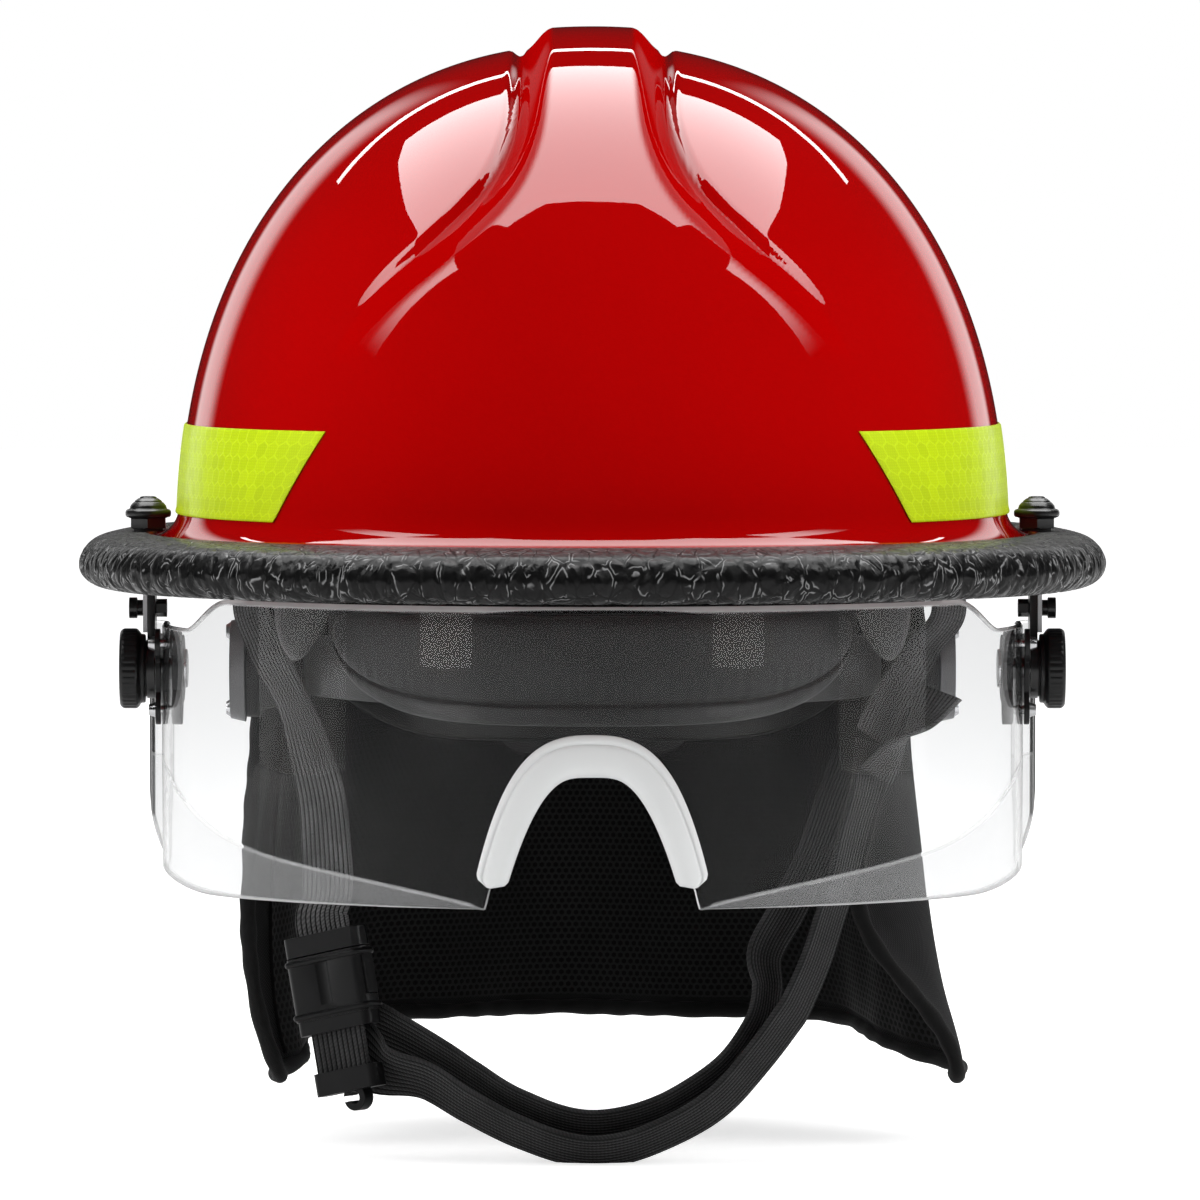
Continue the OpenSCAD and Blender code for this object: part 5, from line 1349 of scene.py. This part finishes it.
# for each strap: steps, wander, the points of its middle line and the direction of its width at each
strapSet = {
    "left": (170, 0.25, [
        [-77.5, -18.5, 40], [-79.8, -19, 29], [-88.5, -20.5, 12], [-97, -22, -10], [-92.7, -22, -24.6],
        [-85, -22.5, -39.7], [-80, -24, -54], [-76.5, -26, -70], [-75, -28.5, -92],
        buckleAt + buckleUp * 19, buckleAt + buckleUp * 10.8], [
        [0.22, -0.97, 0], [0.22, -0.97, 0], [0.35, -0.93, 0], [0.5, -0.86, 0], [0.6, -0.8, 0],
        [0.5, -0.86, 0.1], [0.64, -0.76, 0.1], [0.7, -0.7, 0.15], [0.76, -0.63, 0.2], buckleAcross, buckleAcross]),
    "right": (120, 0.2, [
        [77.5, -18.5, 40], [79.8, -19, 29], [89.5, -20.5, 12], [101, -22, -12], [93.5, -22.5, -25.5],
        [85.5, -23.5, -38], [79.5, -25, -50]], [
        [-0.22, -0.97, 0], [-0.22, -0.97, 0], [-0.35, -0.93, 0], [-0.5, -0.86, 0], [-0.6, -0.8, 0],
        [-0.62, -0.78, 0], [-0.6, -0.8, 0]]),
    "chin": (330, 0.35, [
        [79.2, -25.6, -51.5], [77.9, -27.4, -61.7], [74.1, -29, -76.8], [69, -32, -95.5], [60, -37, -120],
        [54, -40.5, -130.5], [38.3, -47, -149], [20, -52, -160.5], [0, -54.5, -165.5], [-20, -52, -160],
        [-35, -46.5, -153], [-47, -42, -146.5], [-59.5, -36, -143],
        buckleAt - buckleUp * 19.5 + buckleFace * 5.2], [
        [-0.5, -0.86, 0], [-0.48, -0.87, 0], [-0.45, -0.89, 0], [-0.42, -0.9, 0.1], [-0.4, -0.88, 0.25],
        [-0.38, -0.86, 0.3], [-0.25, -0.86, 0.45], [-0.1, -0.86, 0.5], [0, -0.86, 0.5], [0.1, -0.86, 0.5],
        [0.2, -0.86, 0.46], [0.35, -0.84, 0.42], [0.6, -0.7, 0.35], buckleAcross]),
    "return": (330, 0.35, [
        [73.5, -20.5, -56], [68, -22.5, -71], [62, -25, -86], [55, -28, -99], [49, -31.5, -111],
        [49.5, -34, -121], [46.8, -37.5, -132], [36, -42.5, -144.5], [19, -47.5, -154.5], [0, -49.5, -158.5],
        [-20, -46.5, -153], [-33, -41.5, -146], [-42, -37.5, -141], [-53, -32, -135], [-64, -26.5, -130.5]], [
        [-0.6, -0.8, 0], [-0.58, -0.81, 0], [-0.55, -0.83, 0], [-0.55, -0.83, 0.1], [-0.5, -0.85, 0.1],
        [-0.4, -0.9, 0], [-0.4, -0.86, 0.25], [-0.25, -0.86, 0.45], [-0.1, -0.86, 0.5], [0, -0.86, 0.5],
        [0.1, -0.86, 0.5], [0.2, -0.86, 0.46], [0.3, -0.84, 0.42], [0.4, -0.8, 0.42], [0.55, -0.72, 0.4]]),
    "rear": (60, 0.1, [
        [80.4, -28.2, -61], [86.2, -28.2, -52.5], [93.6, -27.5, -44.5], [98.6, -25.8, -37]], [
        [-0.42, -0.78, 0.36], [-0.25, -0.88, 0.1], [0.15, -0.9, -0.3], [0.42, -0.8, -0.42]]),
}


def makeStraps():
    # each strap follows its row of points; the buckle's loop runs straight out of the socket's foot
    s = buckleSet
    for key, (steps, wander, points, across) in strapSet.items():
        piece = strap(key + "Strap", points, across, steps, s["web"], s["webThick"], wander, len(key),
                      ribSet["count"])
        # the legs behind the lens take the webbing's copy that is painted lighter
        look = finish["webbing" if key in ("chin", "return") else "legs"]
        place(piece, look, nodesFor=[key + "_strap"])
    ends = np.linspace(s["low"] - 1.8, s["loopEnd"], 4)
    points = buckleAt + buckleFace * s["loopY"] + buckleUp * ends[:, None]
    across = np.tile(buckleAcross, (4, 1))
    loop = strap("buckleLoop", points, across, 40, s["web"], s["webThick"], ribs=ribSet["count"])
    place(loop, finish["webbing"], nodesFor=["buckle_loop"])


def makeBuckleLips():
    # a round bead carried round the socket near its mouth and its foot: four sides and quarter-circle corners
    s = buckleSet
    half, deep, r = s["wide"] / 2 - s["lipInset"], s["deep"] / 2 - s["lipInset"], s["lipCorner"]
    ring = []
    for cx, cy, start in ((1, 1, 0), (-1, 1, 90), (-1, -1, 180), (1, -1, 270)):
        a = start + np.linspace(0, 90, 9)
        ring.append(np.stack([cx * (half - r) + r * cosD(a), cy * (deep - r) + r * sinD(a)], 1))
    ring = np.concatenate(ring)
    k = np.arange(10) * 36
    parts = []
    for height in (s["mouth"] - s["lipFrom"], s["low"] + s["lipFrom"]):
        middle = buckleAt + buckleUp * height + ring[:, :1] * buckleAcross + ring[:, 1:] * buckleFace
        out = unit(np.cross(np.roll(middle, -1, 0) - np.roll(middle, 1, 0), buckleUp))
        bead = middle[:, None] + s["lip"] * (out[:, None] * cosD(k)[:, None] + 1.3 * buckleUp * sinD(k)[:, None])
        parts.append(gridMesh("lipPart", bead, closeU=True, sharp=60))
    place(oneMesh("buckleLips", parts, sharp=60), finish["buckle"])


makeStraps()
makeBuckleLips()
print("straps made")

# parts that keep their solids and get their finish here
plainNodes = {
    "ratchet_housing": ("plastic", "black_plastic", 0.8), "size_knob": ("plastic", "black_plastic", 0.5),
    "hub_bosses": ("liner", "liner_plastic", 0.4), "hub_plates": ("hub", "hub_grey", 0.8),
    "hub_screws": ("steel", "screw_steel", 0.15),
    "pivot_plates": ("plastic", "black_plastic", 0.35), "backing_plates": ("grey", "grey_plastic", 0.4),
    "pivot_studs": ("steel", "screw_steel", 0.3), "lens_screws": ("steel", "screw_steel", 0.15),
    "left_bracket": ("metal", "black_metal", 0.3), "right_bracket": ("metal", "black_metal", 0.3),
    "stop_plates": ("aluminium", "bare_aluminium", 0.2), "bracket_screws": ("metal", "black_metal", 0.2),
    "bracket_bolts": ("steel", "screw_steel", 0.2), "nut_washers": ("washer", "washer_rubber", 0.15),
    "friction_washers": ("washer", "washer_rubber", 0.1), "buckle_socket": ("buckle", "black_plastic", 0.55),
    "buckle_tongue": ("buckle", "black_plastic", 0.5), "front_prong": ("buckle", "black_plastic", 0.4),
    "rear_prong": ("buckle", "black_plastic", 0.4), "strap_slide": ("buckle", "black_plastic", 0.5),
}
bodyOf = {node: body for body, held in frame["record"]["behaviour"]["bodies"].items() for node in held}


def softened(node, key, width):
    # a merged copy of the node's solid whose sharp edges are rounded, as moulding and turning leave them
    mesh = nodes[node].data.copy()
    words = node.split("_")
    piece = addObject(words[0] + "".join(word.capitalize() for word in words[1:]), mesh)
    work = bmesh.new()
    work.from_mesh(mesh)
    bmesh.ops.remove_doubles(work, verts=work.verts, dist=0.00001)
    bmesh.ops.dissolve_limit(work, angle_limit=math.radians(3), verts=work.verts, edges=work.edges)
    work.to_mesh(mesh)
    work.free()
    bevel = piece.modifiers.new("edges", "BEVEL")
    bevel.width, bevel.segments = width * mm, 3
    bevel.limit_method, bevel.angle_limit = "ANGLE", math.radians(38)
    bevel.use_clamp_overlap = True
    bevel.harden_normals = True
    mesh.polygons.foreach_set("use_smooth", np.ones(len(mesh.polygons), bool))
    mesh.set_sharp_from_angle(angle=math.radians(38))
    place(piece, finish[key], bodyOf[node], [node])


for node, (key, slotName, width) in plainNodes.items():
    softened(node, key, width)

# floor, lights and surroundings
lightSet = {"floorZ": -0.169, "floorHalf": 8.0, "floor": (0.9, 0.9, 0.9), "floorSeen": 0.6,
            "floorThroughLens": 0.36, "stripNear": (0.79, 0.87), "stripFar": (0.925, 0.95), "stripSide": (0.15, 0.28),
            "stripTop": (0.35, 0.6), "stripStrength": 1.3, "reflected": 0.012, "plain": 0.55, "cardHeight": 1.5,
            "cardStrength": 7.0, "cardFade": (1.2, 2.9)}
# outlines of the right half of each sheet overhead, and the mirrored half is made with it
cardSet = {"card": [(0, -0.56), (0.23, -0.56), (0.52, -0.70), (0.70, -0.56), (1.10, -0.38), (1.10, 0.27),
                    (1.0, 0.94), (0.9, 1.25), (0, 1.25)],
           "wing": [(1.06, -0.90), (2.9, -0.90), (2.9, -0.30), (1.1, -0.30)],
           "line": [(0, 1.9), (1.5, 1.9), (1.5, 2.06), (0, 2.06)]}
# for each lamp: its place, what it is turned to, its size and its power; none shows in reflections
lampSet = {"overhead": ((0, -0.3, 1.9), (0, 0, 0), (2.4, 2.0), 24),
           "leftPanel": ((-1.9, -0.3, 0.6), (0, 0, 0), (1.2, 1.8), 25),
           "rightPanel": ((1.9, -0.3, 0.6), (0, 0, 0), (1.2, 1.8), 25),
           "frontLeft": ((-1.75, -2.3, 0.05), (0, 0, -0.03), (0.7, 0.4), 7),
           "frontRight": ((1.75, -2.3, 0.05), (0, 0, -0.03), (0.7, 0.4), 5.5)}


def flatPanel(name, corners, material):
    # one face through a ring of corners, which belongs to the stage
    mesh = bpy.data.meshes.new(name)
    mesh.from_pydata([Vector(c) for c in corners], [], [tuple(range(len(corners)))])
    panel = addObject(name, mesh)
    mesh.materials.append(material)
    return panel


def makeFloor():
    # a pale square that also glows a little where the camera sees it
    s = lightSet
    material, w = newMaterial("paleFloor", {
        "Base Color": s["floor"], "Roughness": 0.9, "Specular IOR Level": 0.0, "Emission Color": (1, 1, 1)})
    path = w.add("ShaderNodeLightPath")
    # less through the lens, so that the lens darkens what is white behind it
    through = w.math("MULTIPLY", path.outputs["Is Transmission Ray"], s["floorThroughLens"])
    glow = w.math("MULTIPLY_ADD", path.outputs["Is Camera Ray"], s["floorSeen"], through)
    w.put(w.shader.inputs["Emission Strength"], glow)
    # from below, the floor is clear, so that the underside can be looked at
    clear = w.add("ShaderNodeBsdfTransparent")
    under = w.add("ShaderNodeNewGeometry").outputs["Backfacing"]
    blend = w.add("ShaderNodeMixShader", {0: under, 1: w.shader, 2: clear})
    w.put(material.node_tree.nodes["Material Output"].inputs["Surface"], blend)
    d, z = s["floorHalf"], s["floorZ"]
    flatPanel("floor", [(-d, -d, z), (d, -d, z), (d, d, z), (-d, d, z)], material)


def makeWorld():
    # white where it is seen directly or through the lens, and plain light on everything; in reflections it
    # is dark but for two upright strips behind the object, which show as thin bright lines along its sides
    s = lightSet
    world = bpy.data.worlds.new("studio")
    bpy.context.scene.world = world
    world.use_nodes = True
    w = Wiring(world.node_tree)
    back = world.node_tree.nodes["Background"]
    back.inputs["Color"].default_value = (1, 1, 1, 1)
    path = w.add("ShaderNodeLightPath")
    way = w.add("ShaderNodeSeparateXYZ", {0: w.add("ShaderNodeTexCoord").outputs["Generated"]})
    x, y, z = way.outputs
    strips = w.math("MULTIPLY", w.ramp(y, *s["stripNear"]), w.ramp(y, *s["stripFar"], reverse=True))
    strips = w.math("MULTIPLY", strips, w.ramp(w.math("ABSOLUTE", x), *s["stripSide"]))
    strips = w.math("MULTIPLY", strips, w.ramp(z, *s["stripTop"], reverse=True))
    behind = w.math("MULTIPLY_ADD", strips, s["stripStrength"], s["reflected"])
    glossyRay = path.outputs["Is Glossy Ray"]
    seen = w.math("MAXIMUM", path.outputs["Is Camera Ray"], path.outputs["Is Transmission Ray"])
    plain = w.math("MULTIPLY", w.math("SUBTRACT", 1.0, w.math("MAXIMUM", seen, glossyRay)), s["plain"])
    w.put(back.inputs["Strength"], w.math("ADD", w.math("ADD", seen, w.math("MULTIPLY", glossyRay, behind)), plain))


def makeCards():
    # bright sheets overhead that only show in reflections: the windows, folds and lines on the crown
    s = lightSet
    material, w = newMaterial("overheadCard", {})
    material.node_tree.nodes.remove(w.shader)
    sep = w.add("ShaderNodeSeparateXYZ", {0: w.object()})
    fade = w.ramp(w.math("ABSOLUTE", sep.outputs[0]), *s["cardFade"], reverse=True)
    glow = w.add("ShaderNodeEmission", {"Strength": w.math("MULTIPLY", fade, s["cardStrength"])})
    w.put(material.node_tree.nodes["Material Output"].inputs["Surface"], glow.outputs[0])
    for name, outline in cardSet.items():
        for side, end in ((1, "Right"), (-1, "Left")):
            corners = [(side * x, y, s["cardHeight"]) for x, y in outline]
            panel = flatPanel("overhead_" + name + end, corners, material)
            panel.visible_camera = panel.visible_diffuse = panel.visible_shadow = False
            panel.visible_transmission = panel.visible_volume_scatter = False


def addLamps():
    # rectangular panels turned to the object
    for name, (spot, aim, size, power) in lampSet.items():
        data = bpy.data.lights.new(name, "AREA")
        data.shape = "RECTANGLE"
        data.size, data.size_y = size
        data.energy = power
        lamp = addObject(name, data)
        lamp.location = spot
        lamp.rotation_euler = (Vector(aim) - Vector(spot)).to_track_quat("-Z", "Y").to_euler()
        lamp.visible_glossy = False


makeFloor()
makeWorld()
makeCards()
addLamps()
print("lights and floor made")
